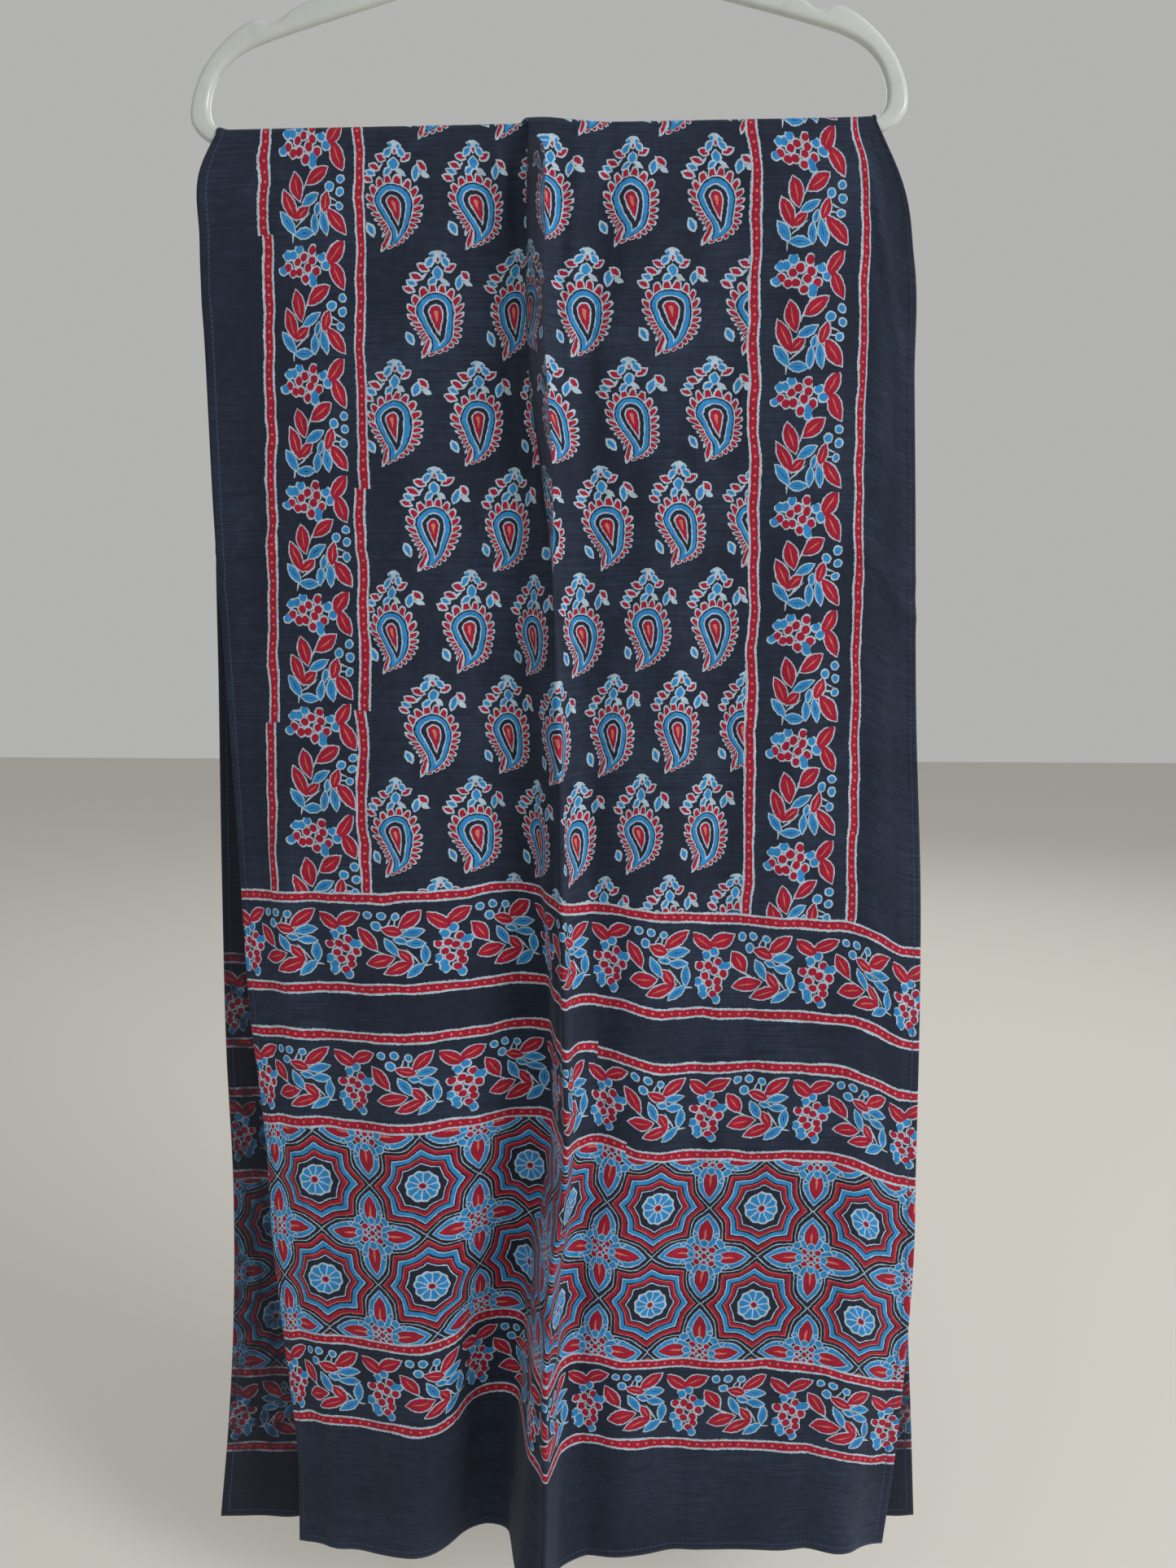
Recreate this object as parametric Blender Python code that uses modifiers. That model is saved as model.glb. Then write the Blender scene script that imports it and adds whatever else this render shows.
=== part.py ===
# A block-printed cotton stole, folded double over the lower bar of a moulded plastic clothes hanger.
# Metres, +Z up. The origin is the seat of the hook, and the cloth's print side faces -Y in front.
import math

import bmesh
import bpy
import numpy as np

MM = 0.001

# Hanger, in metres
HANGER_WIDTH = 0.445
HANGER_THICK = 0.007
HANGER_EDGE_ROUND = 0.003
SEAT_ABOVE_BAR = 0.175
BAR_DEPTH = 0.010
NECK_ABOVE_BAR = 0.121
HOOK_INNER_RADIUS = 0.019
HOOK_ROD_WIDTH = 0.008
HOOK_SWEEP = math.radians(285)
HOOK_FOOT_BLEND = math.radians(24)
HOOK_TIP_ROUND = math.radians(8)
HOOK_STEPS = 14
NECK_WIDTH = 0.013
NECK_SHOULDER = 0.005
SHOULDER_STEPS = 2

# Cloth, in metres
CLOTH_WIDTH = 0.490
CLOTH_THICK = 0.0012
FRONT_DROP = 0.949
BACK_DROP = 0.958
# How much higher each hem hangs at its right end than at its left end
FRONT_HEM_RISE = 0.014
BACK_HEM_RISE = 0.020
BAR_TOP_CLEARANCE = 0.0006
BAR_SIDE_CLEARANCE = 0.002
LEFT_MARGIN = 0.034
RIGHT_MARGIN = 0.054
CREST_ROUND = 0.0035
# A fold this steep still moves across by this much of its own run, squared
STEEPEST_SHARE = 0.06

# Half of the hanger's outer outline from the bar's middle to the neck: distance from the middle and
# height over the bar's centre line, in millimetres. The other half mirrors it.
OUTER_HALF = {
    "side": (0, 120, 203, 213, 220, 222.5, 220, 212, 196, 183, 176, 171, 165, 158, 152, 138),
    "up": (-5, -5, -5, -1, 6, 13, 27, 44, 60.5, 68.5, 70, 67, 67.5, 73, 76.5, 81.5),
}
# Half of the inner outline, from the bar's middle to the apex under the neck
INNER_HALF = {
    "side": (0, 120, 201, 206.5, 209.5, 209, 204, 192, 170, 85, 12),
    "up": (5, 5, 5, 7.5, 14, 24, 37, 49, 58, 81, 101),
}

# Front layer: one row for each height, measured down the cloth from the bar, all in millimetres.
# crest_x and crest_u place the main fold across the hanger and across the flat cloth, fold is its depth,
# left_run and right_run are the flat lengths of its two flanks, and base is how far the cloth stands off
# the hanger's plane. Next come the softer waves and the recess beside the fold, with its place and half
# width, then the sag of the fold and of the right edge, and how far the edges turn back. left_line_x and
# right_line_x are where the margins begin, and left_x and right_x are where the two edges hang.
FRONT = {
    "down": (0, 11, 25, 70, 140, 220, 350, 480, 560, 660, 720, 800, 890, 949),
    "crest_x": (-4, -4, -4, -4, -4, 3, 9, 12, 14, 14, 6, 2, 2, 0),
    "crest_u": (226, 226, 226, 226, 227, 229, 232, 235, 236, 236, 233, 231, 230, 230),
    "fold": (2.5, 4, 9, 14, 15, 14, 16, 19, 24, 30, 33, 38, 42, 44),
    "left_run": (17, 17, 18, 20, 24, 28, 32, 34, 36, 42, 50, 62, 76, 84),
    "right_run": (17, 17, 18, 20, 22, 22, 24, 28, 32, 36, 38, 42, 46, 50),
    "base": (6.1, 6.1, 6.1, 7, 8, 10, 13, 16, 17, 18, 19, 21, 23, 24),
    "left_wave": (0, 0, 0, 0, 1, 3, 6, 8, 9, 10, 11, 12, 14, 15),
    "recess": (0, 0, 0, 0, 1, 3, 7, 10, 11, 13, 16, 20, 25, 28),
    "recess_u": (188, 188, 188, 188, 188, 188, 188, 188, 186, 180, 173, 162, 149, 144),
    "recess_run": (36, 36, 36, 36, 36, 36, 36, 36, 38, 42, 48, 56, 66, 70),
    "right_wave": (0, 0, 0, 0, 1, 2, 4, 6, 8, 9, 9, 9, 9, 9),
    "fold_sag": (0, 0, 0, 0, 1, 3, 5, 7, 9, 11, 11, 10, 7, 4),
    "right_sag": (0, 0, 9, 17, 18, 17, 17, 17, 17, 17, 16, 15, 14, 14),
    "left_turn": (0, 0, 0, 0, 0, 2, 6, 8, 8, 7, 7, 7, 7, 7),
    "right_turn": (0, 0, 0, 3, 6, 6, 6, 6, 7, 8, 10, 16, 22, 24),
    "left_line_x": (-174, -174, -175, -176, -177, -178, -180, -181, -176, -170, -166, -160, -155, -154),
    "right_line_x": (190, 191, 195, 198, 198, 198, 199, 199, 199, 197, 194, 190, 186, 184),
    "left_x": (-196, -198, -210, -212, -211, -212, -203, -204, -203, -194, -192, -185, -177, -178),
    "right_x": (196, 198, 216, 228, 231, 234, 238, 245, 247, 248, 249, 247, 242, 236),
}
# Back layer: the same, with nest the depth of the fold that pushes it towards the front layer
BACK = {
    "down": (0, 11, 25, 70, 140, 240, 350, 480, 600, 700, 800, 890, 958),
    "crest_x": (-4, -4, -4, -4, -3, 0, 4, 6, 8, 8, 6, 4, 4),
    "nest": (0, 0, 0, 1, 2, 4, 6, 8, 9, 10, 10, 10, 10),
    "base": (6.1, 6.1, 6.1, 7, 8, 10, 12, 14, 15, 16, 17, 18, 18),
    "left_wave": (0, 0, 0, 0, 2, 4, 6, 8, 8, 9, 9, 10, 10),
    "right_wave": (0, 0, 0, 0, 2, 3, 5, 6, 7, 7, 8, 8, 9),
    "left_line_x": (-174, -174, -175, -177, -181, -185, -189, -193, -196, -198, -201, -205, -208),
    "right_line_x": (190, 191, 194, 197, 198, 199, 201, 203, 204, 205, 206, 207, 208),
    "left_x": (-196, -198, -208, -210, -212, -220, -223, -227, -229, -228, -232, -240, -248),
    "right_x": (196, 198, 206, 210, 218, 226, 232, 238, 242, 246, 252, 258, 262),
}
# Where the softer waves lie across the flat cloth, and how wide each is, in millimetres
WAVES = {
    "left_wave": (104, 60),
    "right_wave": (300, 46),
    "nest": (236, 48),
}
EDGE_TURN_RUN = 45
SAG_RUN = 62

# Columns of the cloth's mesh across its width and rows down each layer, in millimetres
COLUMNS = (0, 17, 34, 56, 80, 102, 126, 148, 166, 180, 192, 202, 211, 219, 225.5, 230, 234.5,
           241, 249, 258, 268, 282, 300, 322, 346, 368, 394, 420, 436, 454, 472, 490)
FRONT_ROWS = (25, 45, 70, 105, 140, 180, 220, 265, 310, 355, 400, 440, 480, 520, 560, 600, 640, 680,
              720, 760, 800, 845, 890, 924, FRONT_DROP / MM)
BACK_ROWS = (25, 60, 110, 170, 240, 310, 380, 450, 520, 590, 660, 730, 800, 860, 910, BACK_DROP / MM)
ARC_STEPS = 8
FINE_STEP = 0.5

CLOTH_COLOUR = (0.020, 0.032, 0.056)
PLASTIC_COLOUR = (0.60, 0.63, 0.59)


def clear_scene():
    for obj in list(bpy.data.objects):
        bpy.data.objects.remove(obj, do_unlink=True)


def make_material(name, colour, roughness, metallic=0.0):
    material = bpy.data.materials.new(name)
    material.use_nodes = True
    shader = material.node_tree.nodes["Principled BSDF"]
    shader.inputs["Base Color"].default_value = (*colour, 1.0)
    shader.inputs["Roughness"].default_value = roughness
    shader.inputs["Metallic"].default_value = metallic
    return material


def smooth_read(table, column, down):
    """Reads a column of a table at one distance down, along a smooth curve through its rows."""
    stations = np.array(table["down"], float)
    values = np.array(table[column], float)
    slopes = np.gradient(values, stations)
    i = int(np.clip(np.searchsorted(stations, down) - 1, 0, len(stations) - 2))
    span = stations[i + 1] - stations[i]
    t = np.clip((down - stations[i]) / span, 0.0, 1.0)
    return (
        values[i] * (2 * t**3 - 3 * t**2 + 1)
        + values[i + 1] * (3 * t**2 - 2 * t**3)
        + slopes[i] * span * (t**3 - 2 * t**2 + t)
        + slopes[i + 1] * span * (t**3 - t**2)
    )


def hump(u, centre, half_width):
    """A smooth hump of height 1, nothing beyond its half width."""
    t = np.clip((u - centre) / half_width, -1.0, 1.0)
    return np.cos(t * np.pi / 2) ** 2


def tent(u, centre, left_run, right_run):
    """A fold of height 1 with a slightly rounded crest and flanks that ease out at the foot."""
    across = u - centre
    rounded = np.sqrt(across**2 + (CREST_ROUND / MM) ** 2) - CREST_ROUND / MM
    run = np.where(across < 0, left_run, right_run)
    return np.clip(1.0 - rounded / run, 0.0, 1.0) ** 1.3


def spread(u, depth, sag, at, crest_u):
    """Positions across the hanger. The cloth takes up its own width along its folds, and fine gathers that
    aren't modelled take the rest, so each side is scaled to reach its margin line and then its edge."""
    slope = np.gradient(depth, u) ** 2 + np.gradient(sag, u) ** 2
    step = np.sqrt(np.clip(1.0 - slope, STEEPEST_SHARE, 1.0))
    run = np.concatenate([[0.0], np.cumsum((step[1:] + step[:-1]) / 2 * np.diff(u))])
    left_line, right_line = LEFT_MARGIN / MM, (CLOTH_WIDTH - RIGHT_MARGIN) / MM
    stops = np.interp([0.0, left_line, crest_u, right_line, u[-1]], u, run)
    places = [at["left_x"], at["left_line_x"], at["crest_x"], at["right_line_x"], at["right_x"]]
    return np.interp(run, stops, places)


def front_row(down):
    """Across x, depth towards the viewer and sag of the front layer, on the fine row of flat positions."""
    at = {name: smooth_read(FRONT, name, down) for name in FRONT if name != "down"}
    u = np.arange(0.0, CLOTH_WIDTH / MM + FINE_STEP, FINE_STEP)
    width = CLOTH_WIDTH / MM
    depth = at["base"] + at["fold"] * tent(u, at["crest_u"], at["left_run"], at["right_run"])
    depth += at["left_wave"] * hump(u, *WAVES["left_wave"])
    depth -= at["recess"] * hump(u, at["recess_u"], at["recess_run"])
    depth += at["right_wave"] * hump(u, *WAVES["right_wave"])
    depth -= at["left_turn"] * hump(u, 0, EDGE_TURN_RUN) + at["right_turn"] * hump(u, width, EDGE_TURN_RUN)
    sag = at["fold_sag"] * hump(u, at["crest_u"], SAG_RUN) + at["right_sag"] * hump(u, width, SAG_RUN)
    x = spread(u, depth, sag, at, at["crest_u"])
    return u, x, depth, sag


def back_row(down):
    """The same for the back layer, whose depth is away from the viewer."""
    at = {name: smooth_read(BACK, name, down) for name in BACK if name != "down"}
    u = np.arange(0.0, CLOTH_WIDTH / MM + FINE_STEP, FINE_STEP)
    crest_u = WAVES["nest"][0]
    depth = at["base"] - at["nest"] * hump(u, *WAVES["nest"])
    depth += at["left_wave"] * hump(u, *WAVES["left_wave"]) + at["right_wave"] * hump(u, *WAVES["right_wave"])
    sag = np.zeros_like(u)
    x = spread(u, depth, sag, at, crest_u)
    return u, x, depth, sag


def cloth_rows():
    """Rows of points, from the front hem over the bar to the back hem."""
    bar_z = -SEAT_ABOVE_BAR
    radius = HANGER_THICK / 2 + BAR_SIDE_CLEARANCE + CLOTH_THICK / 2
    arc_z = bar_z + BAR_DEPTH / 2 + BAR_TOP_CLEARANCE + CLOTH_THICK / 2 - radius
    quarter = radius * math.pi / 2
    columns = np.array(COLUMNS, float)
    rows = []

    def hanging(layer, down):
        row, side, hem_drop, hem_rise = layer
        u, x, depth, sag = row(down)
        x, depth, sag = (np.interp(columns, u, values) * MM for values in (x, depth, sag))
        rise = hem_rise * (columns * MM / CLOTH_WIDTH - 0.5) * down * MM / hem_drop
        drop = np.maximum(down * MM - quarter - rise, 0.0)
        return np.stack([x, side * depth, arc_z - drop - sag], 1)

    front = (front_row, -1, FRONT_DROP, FRONT_HEM_RISE)
    back = (back_row, 1, BACK_DROP, BACK_HEM_RISE)
    for down in reversed(FRONT_ROWS):
        rows.append(hanging(front, down))
    front_top = hanging(front, quarter / MM)
    back_top = hanging(back, quarter / MM)
    for step in range(ARC_STEPS + 1):
        angle = math.pi * step / ARC_STEPS
        share = (1 - math.cos(angle)) / 2
        row = front_top * (1 - share) + back_top * share
        row[:, 1] = -math.cos(angle) * np.where(angle < math.pi / 2, -front_top[:, 1], back_top[:, 1])
        row[:, 2] += math.sin(angle) * radius
        rows.append(row)
    for down in BACK_ROWS:
        rows.append(hanging(back, down))
    return np.array(rows)


def build_cloth(collection, material):
    """One sheet, lofted through its rows and given its thickness."""
    rows = cloth_rows()
    count, across = rows.shape[:2]
    sheet = bmesh.new()
    points = [[sheet.verts.new(point) for point in row] for row in rows.tolist()]
    for i in range(count - 1):
        for j in range(across - 1):
            sheet.faces.new((points[i][j], points[i][j + 1], points[i + 1][j + 1], points[i + 1][j]))
    mesh = bpy.data.meshes.new("cloth")
    sheet.to_mesh(mesh)
    sheet.free()
    mesh.materials.append(material)
    cloth = bpy.data.objects.new("cloth", mesh)
    collection.objects.link(cloth)
    wall = cloth.modifiers.new("thickness", "SOLIDIFY")
    wall.thickness = CLOTH_THICK
    wall.offset = 0.0
    mesh.shade_smooth()
    return cloth


def arc(radius, centre_z, start, end, steps):
    """Points along an arc about a centre on the Z axis, both ends included."""
    angles = np.linspace(start, end, steps + 1)
    return [(radius * math.cos(a), centre_z + radius * math.sin(a)) for a in angles]


def hook_outline(neck_z):
    """The hook's edge, from the neck's right side round the outside, over the tip and back inside."""
    centre_z = -HOOK_INNER_RADIUS
    foot = math.radians(-90)
    tip = foot + HOOK_SWEEP
    outer_radius = HOOK_INNER_RADIUS + HOOK_ROD_WIDTH
    outside = arc(outer_radius, centre_z, foot + HOOK_FOOT_BLEND, tip, HOOK_STEPS)
    over_tip = arc(outer_radius - HOOK_ROD_WIDTH / 2, centre_z, tip + HOOK_TIP_ROUND, tip, 0)
    inside = arc(HOOK_INNER_RADIUS, centre_z, tip, foot, HOOK_STEPS)
    shoulder_z = centre_z - HOOK_INNER_RADIUS - NECK_SHOULDER
    shoulder = arc(NECK_SHOULDER, shoulder_z, math.radians(120), math.radians(180), SHOULDER_STEPS)
    left_side = (-NECK_WIDTH / 2, neck_z)
    return [(NECK_WIDTH / 2, neck_z), *outside, *over_tip, *inside, *shoulder, left_side]


def build_hanger(collection, material):
    """A flat outline with rounded edges: arms, notches, lower bar, neck and hook in one moulding."""
    bar_z = -SEAT_ABOVE_BAR
    reach = HANGER_WIDTH / 2 / max(OUTER_HALF["side"])
    half = [(x * reach, bar_z + z * MM) for x, z in zip(OUTER_HALF["side"], OUTER_HALF["up"])]
    neck_z = bar_z + NECK_ABOVE_BAR
    outer = [*half, *hook_outline(neck_z), *[(-x, z) for x, z in reversed(half[1:])]]
    inner = [(x * reach, bar_z + z * MM) for x, z in zip(INNER_HALF["side"], INNER_HALF["up"])]
    inner = [*inner, *[(-x, z) for x, z in reversed(inner[1:])]]
    curve = bpy.data.curves.new("hanger", "CURVE")
    curve.dimensions = "2D"
    curve.fill_mode = "BOTH"
    curve.extrude = HANGER_THICK / 2 - HANGER_EDGE_ROUND
    curve.bevel_depth = HANGER_EDGE_ROUND
    curve.bevel_resolution = 1
    curve.offset = -HANGER_EDGE_ROUND
    for outline in (outer, inner):
        spline = curve.splines.new("POLY")
        spline.points.add(len(outline) - 1)
        for point, (x, z) in zip(spline.points, outline):
            point.co = (x, z, 0.0, 1.0)
        spline.use_cyclic_u = True
    curve.materials.append(material)
    hanger = bpy.data.objects.new("hanger", curve)
    hanger.rotation_euler = (math.radians(90), 0.0, 0.0)
    collection.objects.link(hanger)
    return hanger


def main():
    clear_scene()
    collection = bpy.data.collections.new("ajrakh_cloth_on_hanger")
    bpy.context.scene.collection.children.link(collection)
    build_hanger(collection, make_material("moulded_plastic", PLASTIC_COLOUR, 0.35))
    build_cloth(collection, make_material("printed_cotton", CLOTH_COLOUR, 0.9))


main()
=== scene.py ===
# A block-printed cotton stole, folded double over the lower bar of a moulded plastic clothes hanger.
# Metres, +Z up. The origin is the seat of the hook, and the print side of the front layer faces -Y.
import functools
import math

import bmesh
import bpy
import mathutils
import numpy as np
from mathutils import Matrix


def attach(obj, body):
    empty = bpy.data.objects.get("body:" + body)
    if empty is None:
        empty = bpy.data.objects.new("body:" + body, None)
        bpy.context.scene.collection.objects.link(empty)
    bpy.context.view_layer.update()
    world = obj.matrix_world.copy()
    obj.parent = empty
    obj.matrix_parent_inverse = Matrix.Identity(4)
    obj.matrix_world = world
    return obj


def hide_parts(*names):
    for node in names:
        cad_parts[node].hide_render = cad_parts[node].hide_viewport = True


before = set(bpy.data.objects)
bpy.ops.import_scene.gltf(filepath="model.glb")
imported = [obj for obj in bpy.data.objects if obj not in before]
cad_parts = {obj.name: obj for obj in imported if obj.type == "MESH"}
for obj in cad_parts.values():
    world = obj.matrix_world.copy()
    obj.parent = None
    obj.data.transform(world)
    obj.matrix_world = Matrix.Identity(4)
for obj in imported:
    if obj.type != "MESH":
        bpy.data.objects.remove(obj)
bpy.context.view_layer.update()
print("frame loaded")

mm = 0.001


# One sRGB hex colour as the linear values that a shader takes
def linear(colour):
    channels = [int(colour[i:i + 2], 16) / 255 for i in (1, 3, 5)]
    return (*[c / 12.92 if c <= 0.04045 else ((c + 0.055) / 1.055) ** 2.4 for c in channels], 1.0)


# Adds one node. What it takes in comes in order or by socket, as a number, a vector or another node's
# output; None leaves a socket alone.
def addNode(tree, kind, feeds=(), operation=None, output=0, **settings):
    node = tree.nodes.new("ShaderNode" + kind)
    if operation:
        node.operation = operation
    for name, value in settings.items():
        setattr(node, name, value)
    for socket, value in (feeds.items() if isinstance(feeds, dict) else enumerate(feeds)):
        if isinstance(value, bpy.types.NodeSocket):
            tree.links.new(value, node.inputs[socket])
        elif value is not None:
            node.inputs[socket].default_value = value
    return node.outputs[output]


# A material without nodes, and the function above bound to its tree
def newMaterial(name):
    material = bpy.data.materials.new(name)
    material.use_nodes = True
    material.node_tree.nodes.clear()
    return material, functools.partial(addNode, material.node_tree)


# The material with one shader, fed to its output
def finished(material, add, feeds):
    shader = add("BsdfPrincipled", feeds)
    tree = material.node_tree
    tree.links.new(shader, tree.nodes.new("ShaderNodeOutputMaterial").inputs["Surface"])
    return material


# One colour over another by a share
def mixed(add, share, under, over, **settings):
    return add("Mix", {0: share, 6: under, 7: over}, output=2, data_type="RGBA", **settings)


# A piece's object, and its place in the frame
def addPiece(name, mesh, node):
    piece = bpy.data.objects.new(name, mesh)
    bpy.context.scene.collection.objects.link(piece)
    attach(piece, "root")
    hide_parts(node)
    return piece


# The cloth's shape

# What a user may change on the cloth, in millimetres
cloth = {
    "width": 490.0,
    "frontDrop": 949.0,
    "backDrop": 958.0,
    "frontHemRise": 14.0,
    "backHemRise": 20.0,
    "leftMargin": 34.0,
    "rightMargin": 54.0,
    "thickness": 0.45,
    "hemThickness": 0.95,
    "hemWidth": 5.5,
    "crestRound": 1.8,
    "pinch": 3.0,
    "pinchRun": 7.0,
    "barTopZ": -170.0,
    "barGap": 0.25,
    "bendRadius": 4.1,
    "rowStep": 4.9,
    "backRowStep": 7.2,
    "arcSteps": 12,
}

# The front layer by distance down from the bar: the same folds as the solid, in millimetres
front = {
    "down": (0, 11, 25, 70, 140, 220, 350, 480, 560, 660, 720, 800, 890, 949),
    "crestX": (-4, -4, -4, -4, -4, 3, 9, 12, 14, 14, 6, 2, 2, 0),
    "crestU": (226, 226, 226, 226, 227, 229, 232, 235, 236, 236, 233, 231, 230, 230),
    "fold": (1.5, 4, 9, 14, 15, 14, 16, 19, 24, 30, 33, 38, 42, 44),
    "leftRun": (17, 17, 18, 20, 24, 28, 32, 34, 36, 42, 50, 62, 76, 84),
    "rightRun": (17, 17, 18, 20, 22, 22, 24, 28, 32, 36, 38, 42, 46, 50),
    "base": (4.1, 4.6, 5.4, 7, 8, 10, 13, 16, 17, 18, 19, 21, 23, 24),
    "leftWave": (0, 0, 0, 0, 1, 3, 6, 8, 9, 10, 11, 12, 14, 15),
    "recess": (0, 0, 0, 0, 1, 3, 7, 10, 11, 13, 16, 20, 25, 28),
    "recessU": (188, 188, 188, 188, 188, 188, 188, 188, 186, 180, 173, 162, 149, 144),
    "recessRun": (36, 36, 36, 36, 36, 36, 36, 36, 38, 42, 48, 56, 66, 70),
    "rightWave": (0, 0, 0, 0, 1, 2, 4, 6, 8, 9, 9, 9, 9, 9),
    "foldSag": (0, 0, 0, 0, 1, 3, 5, 7, 9, 11, 11, 10, 7, 4),
    "rightSag": (0, 0, 9, 17, 18, 17, 17, 17, 17, 17, 16, 15, 14, 14),
    "leftTurn": (0, 0, 0, 0, 0, 2, 6, 8, 8, 7, 7, 7, 7, 7),
    "rightTurn": (0, 0, 0, 3, 6, 6, 6, 6, 7, 8, 10, 16, 22, 24),
    "leftLineX": (-174, -174, -175, -176, -177, -178, -180, -181, -176, -170, -166, -160, -155, -154),
    "rightLineX": (190, 191, 195, 198, 198, 198, 199, 199, 199, 197, 194, 190, 186, 184),
    "leftX": (-201, -208, -215, -217, -216, -215, -211, -206, -203, -194, -192, -185, -177, -178),
    "rightX": (200, 205, 216, 228, 231, 234, 238, 245, 247, 248, 249, 247, 242, 236),
}
# The back layer, where nest is the depth of the fold that pushes it towards the front layer
back = {
    "down": (0, 11, 25, 70, 140, 240, 350, 480, 600, 700, 800, 890, 958),
    "crestX": (-4, -4, -4, -4, -3, 0, 4, 6, 8, 8, 6, 4, 4),
    "nest": (0, 0, 0, 1, 2, 4, 6, 8, 9, 10, 10, 10, 10),
    "base": (4.1, 4.6, 5.4, 7, 8, 10, 12, 14, 15, 16, 17, 18, 18),
    "leftWave": (0, 0, 0, 0, 2, 4, 6, 8, 8, 9, 9, 10, 10),
    "rightWave": (0, 0, 0, 0, 2, 3, 5, 6, 7, 7, 8, 8, 9),
    "leftLineX": (-174, -174, -175, -177, -181, -185, -189, -193, -196, -198, -201, -205, -208),
    "rightLineX": (190, 191, 194, 197, 198, 199, 201, 203, 204, 205, 206, 207, 208),
    "leftX": (-200, -201, -208, -210, -212, -220, -223, -227, -229, -228, -232, -240, -248),
    "rightX": (200, 201, 206, 210, 218, 226, 232, 238, 242, 246, 252, 258, 262),
}
waves = {"leftWave": (104, 60), "rightWave": (300, 46), "nest": (236, 48)}
edgeTurnRun = 45
sagRun = 62

# Soft creases, each a straight line on the flat front layer from one point (across, down) to another, in
# millimetres, with its height towards the viewer and its half width: the marks of folding for storage,
# the turned edge that sets down the left side, and slack puckers under the bar and beside the fold
creases = [
    {"from": (0, 262), "to": (236, 256), "height": 1.4, "half": 4.2},
    {"from": (236, 256), "to": (490, 268), "height": 1.3, "half": 4.2},
    {"from": (0, 270), "to": (490, 275), "height": -0.8, "half": 7.0},
    {"from": (2, 285), "to": (34, 255), "height": 2.2, "half": 4.5},
    {"from": (440, 262), "to": (488, 290), "height": 2.0, "half": 5.0},
    {"from": (34, 8), "to": (6, 100), "height": 1.8, "half": 4.5},
    {"from": (10, 300), "to": (8, 940), "height": 1.0, "half": 2.6},
    {"from": (474, 110), "to": (478, 930), "height": 0.9, "half": 2.8},
    {"from": (52, 4), "to": (40, 60), "height": 1.0, "half": 4.0},
    {"from": (118, 3), "to": (126, 46), "height": 0.8, "half": 5.0},
    {"from": (196, 4), "to": (208, 190), "height": 2.2, "half": 4.0},
    {"from": (176, 3), "to": (190, 120), "height": -1.8, "half": 5.0},
    {"from": (256, 4), "to": (250, 210), "height": 1.9, "half": 4.2},
    {"from": (274, 3), "to": (266, 150), "height": -1.6, "half": 5.5},
    {"from": (296, 4), "to": (286, 110), "height": 1.5, "half": 5.0},
    {"from": (372, 4), "to": (392, 70), "height": 0.9, "half": 6.0},
    {"from": (430, 6), "to": (470, 120), "height": 1.6, "half": 6.0},
    {"from": (292, 480), "to": (276, 900), "height": 1.3, "half": 7.0},
    {"from": (160, 500), "to": (128, 940), "height": -1.2, "half": 9.0},
    {"from": (60, 690), "to": (40, 948), "height": 1.1, "half": 8.0},
    {"from": (352, 560), "to": (372, 948), "height": 1.2, "half": 10.0},
    {"from": (406, 700), "to": (432, 948), "height": -1.3, "half": 9.0},
    {"from": (60, 905), "to": (160, 880), "height": 0.7, "half": 8.0},
    {"from": (166, 190), "to": (172, 520), "height": -2.4, "half": 11.0},
    {"from": (130, 120), "to": (128, 480), "height": 1.3, "half": 12.0},
    {"from": (262, 150), "to": (266, 470), "height": -1.8, "half": 9.0},
    {"from": (300, 90), "to": (318, 470), "height": 1.6, "half": 14.0},
    {"from": (352, 60), "to": (346, 480), "height": -1.6, "half": 12.0},
    {"from": (404, 30), "to": (396, 470), "height": 1.5, "half": 12.0},
    {"from": (74, 40), "to": (70, 470), "height": 1.4, "half": 13.0},
    {"from": (20, 60), "to": (26, 480), "height": -1.3, "half": 9.0},
    {"from": (300, 915), "to": (430, 900), "height": 0.6, "half": 9.0},
]
# Long slack ripples over both layers: height, wavelength across and lean per millimetre down
ripples = [
    {"height": 0.55, "wave": 71.0, "lean": 0.10, "start": 0.3},
    {"height": 0.35, "wave": 43.0, "lean": -0.16, "start": 2.1},
    {"height": 0.30, "wave": 29.0, "lean": 0.05, "start": 4.0},
]


# One column of a table at each distance down, on a smooth curve through its rows
def smoothRead(table, column, down):
    stations = np.array(table["down"], float)
    values = np.array(table[column], float)
    slopes = np.gradient(values, stations)
    i = np.clip(np.searchsorted(stations, down) - 1, 0, len(stations) - 2)
    span = stations[i + 1] - stations[i]
    t = np.clip((down - stations[i]) / span, 0.0, 1.0)
    ends = values[i] * (2 * t**3 - 3 * t**2 + 1) + values[i + 1] * (3 * t**2 - 2 * t**3)
    return ends + slopes[i] * span * (t**3 - 2 * t**2 + t) + slopes[i + 1] * span * (t**3 - t**2)


# cos² of a quarter turn over the half width: 1 at the centre and 0 beyond it
def hump(u, centre, half):
    return np.cos(np.clip((u - centre) / half, -1.0, 1.0) * np.pi / 2) ** 2


# 1 less the distance from the crest over its flank's run, to the power 1.3, with the crest rounded off
def tent(u, centre, leftRun, rightRun):
    across = u - centre
    rounded = np.sqrt(across**2 + cloth["crestRound"] ** 2) - cloth["crestRound"]
    return np.clip(1.0 - rounded / np.where(across < 0, leftRun, rightRun), 0.0, 1.0) ** 1.3


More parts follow.
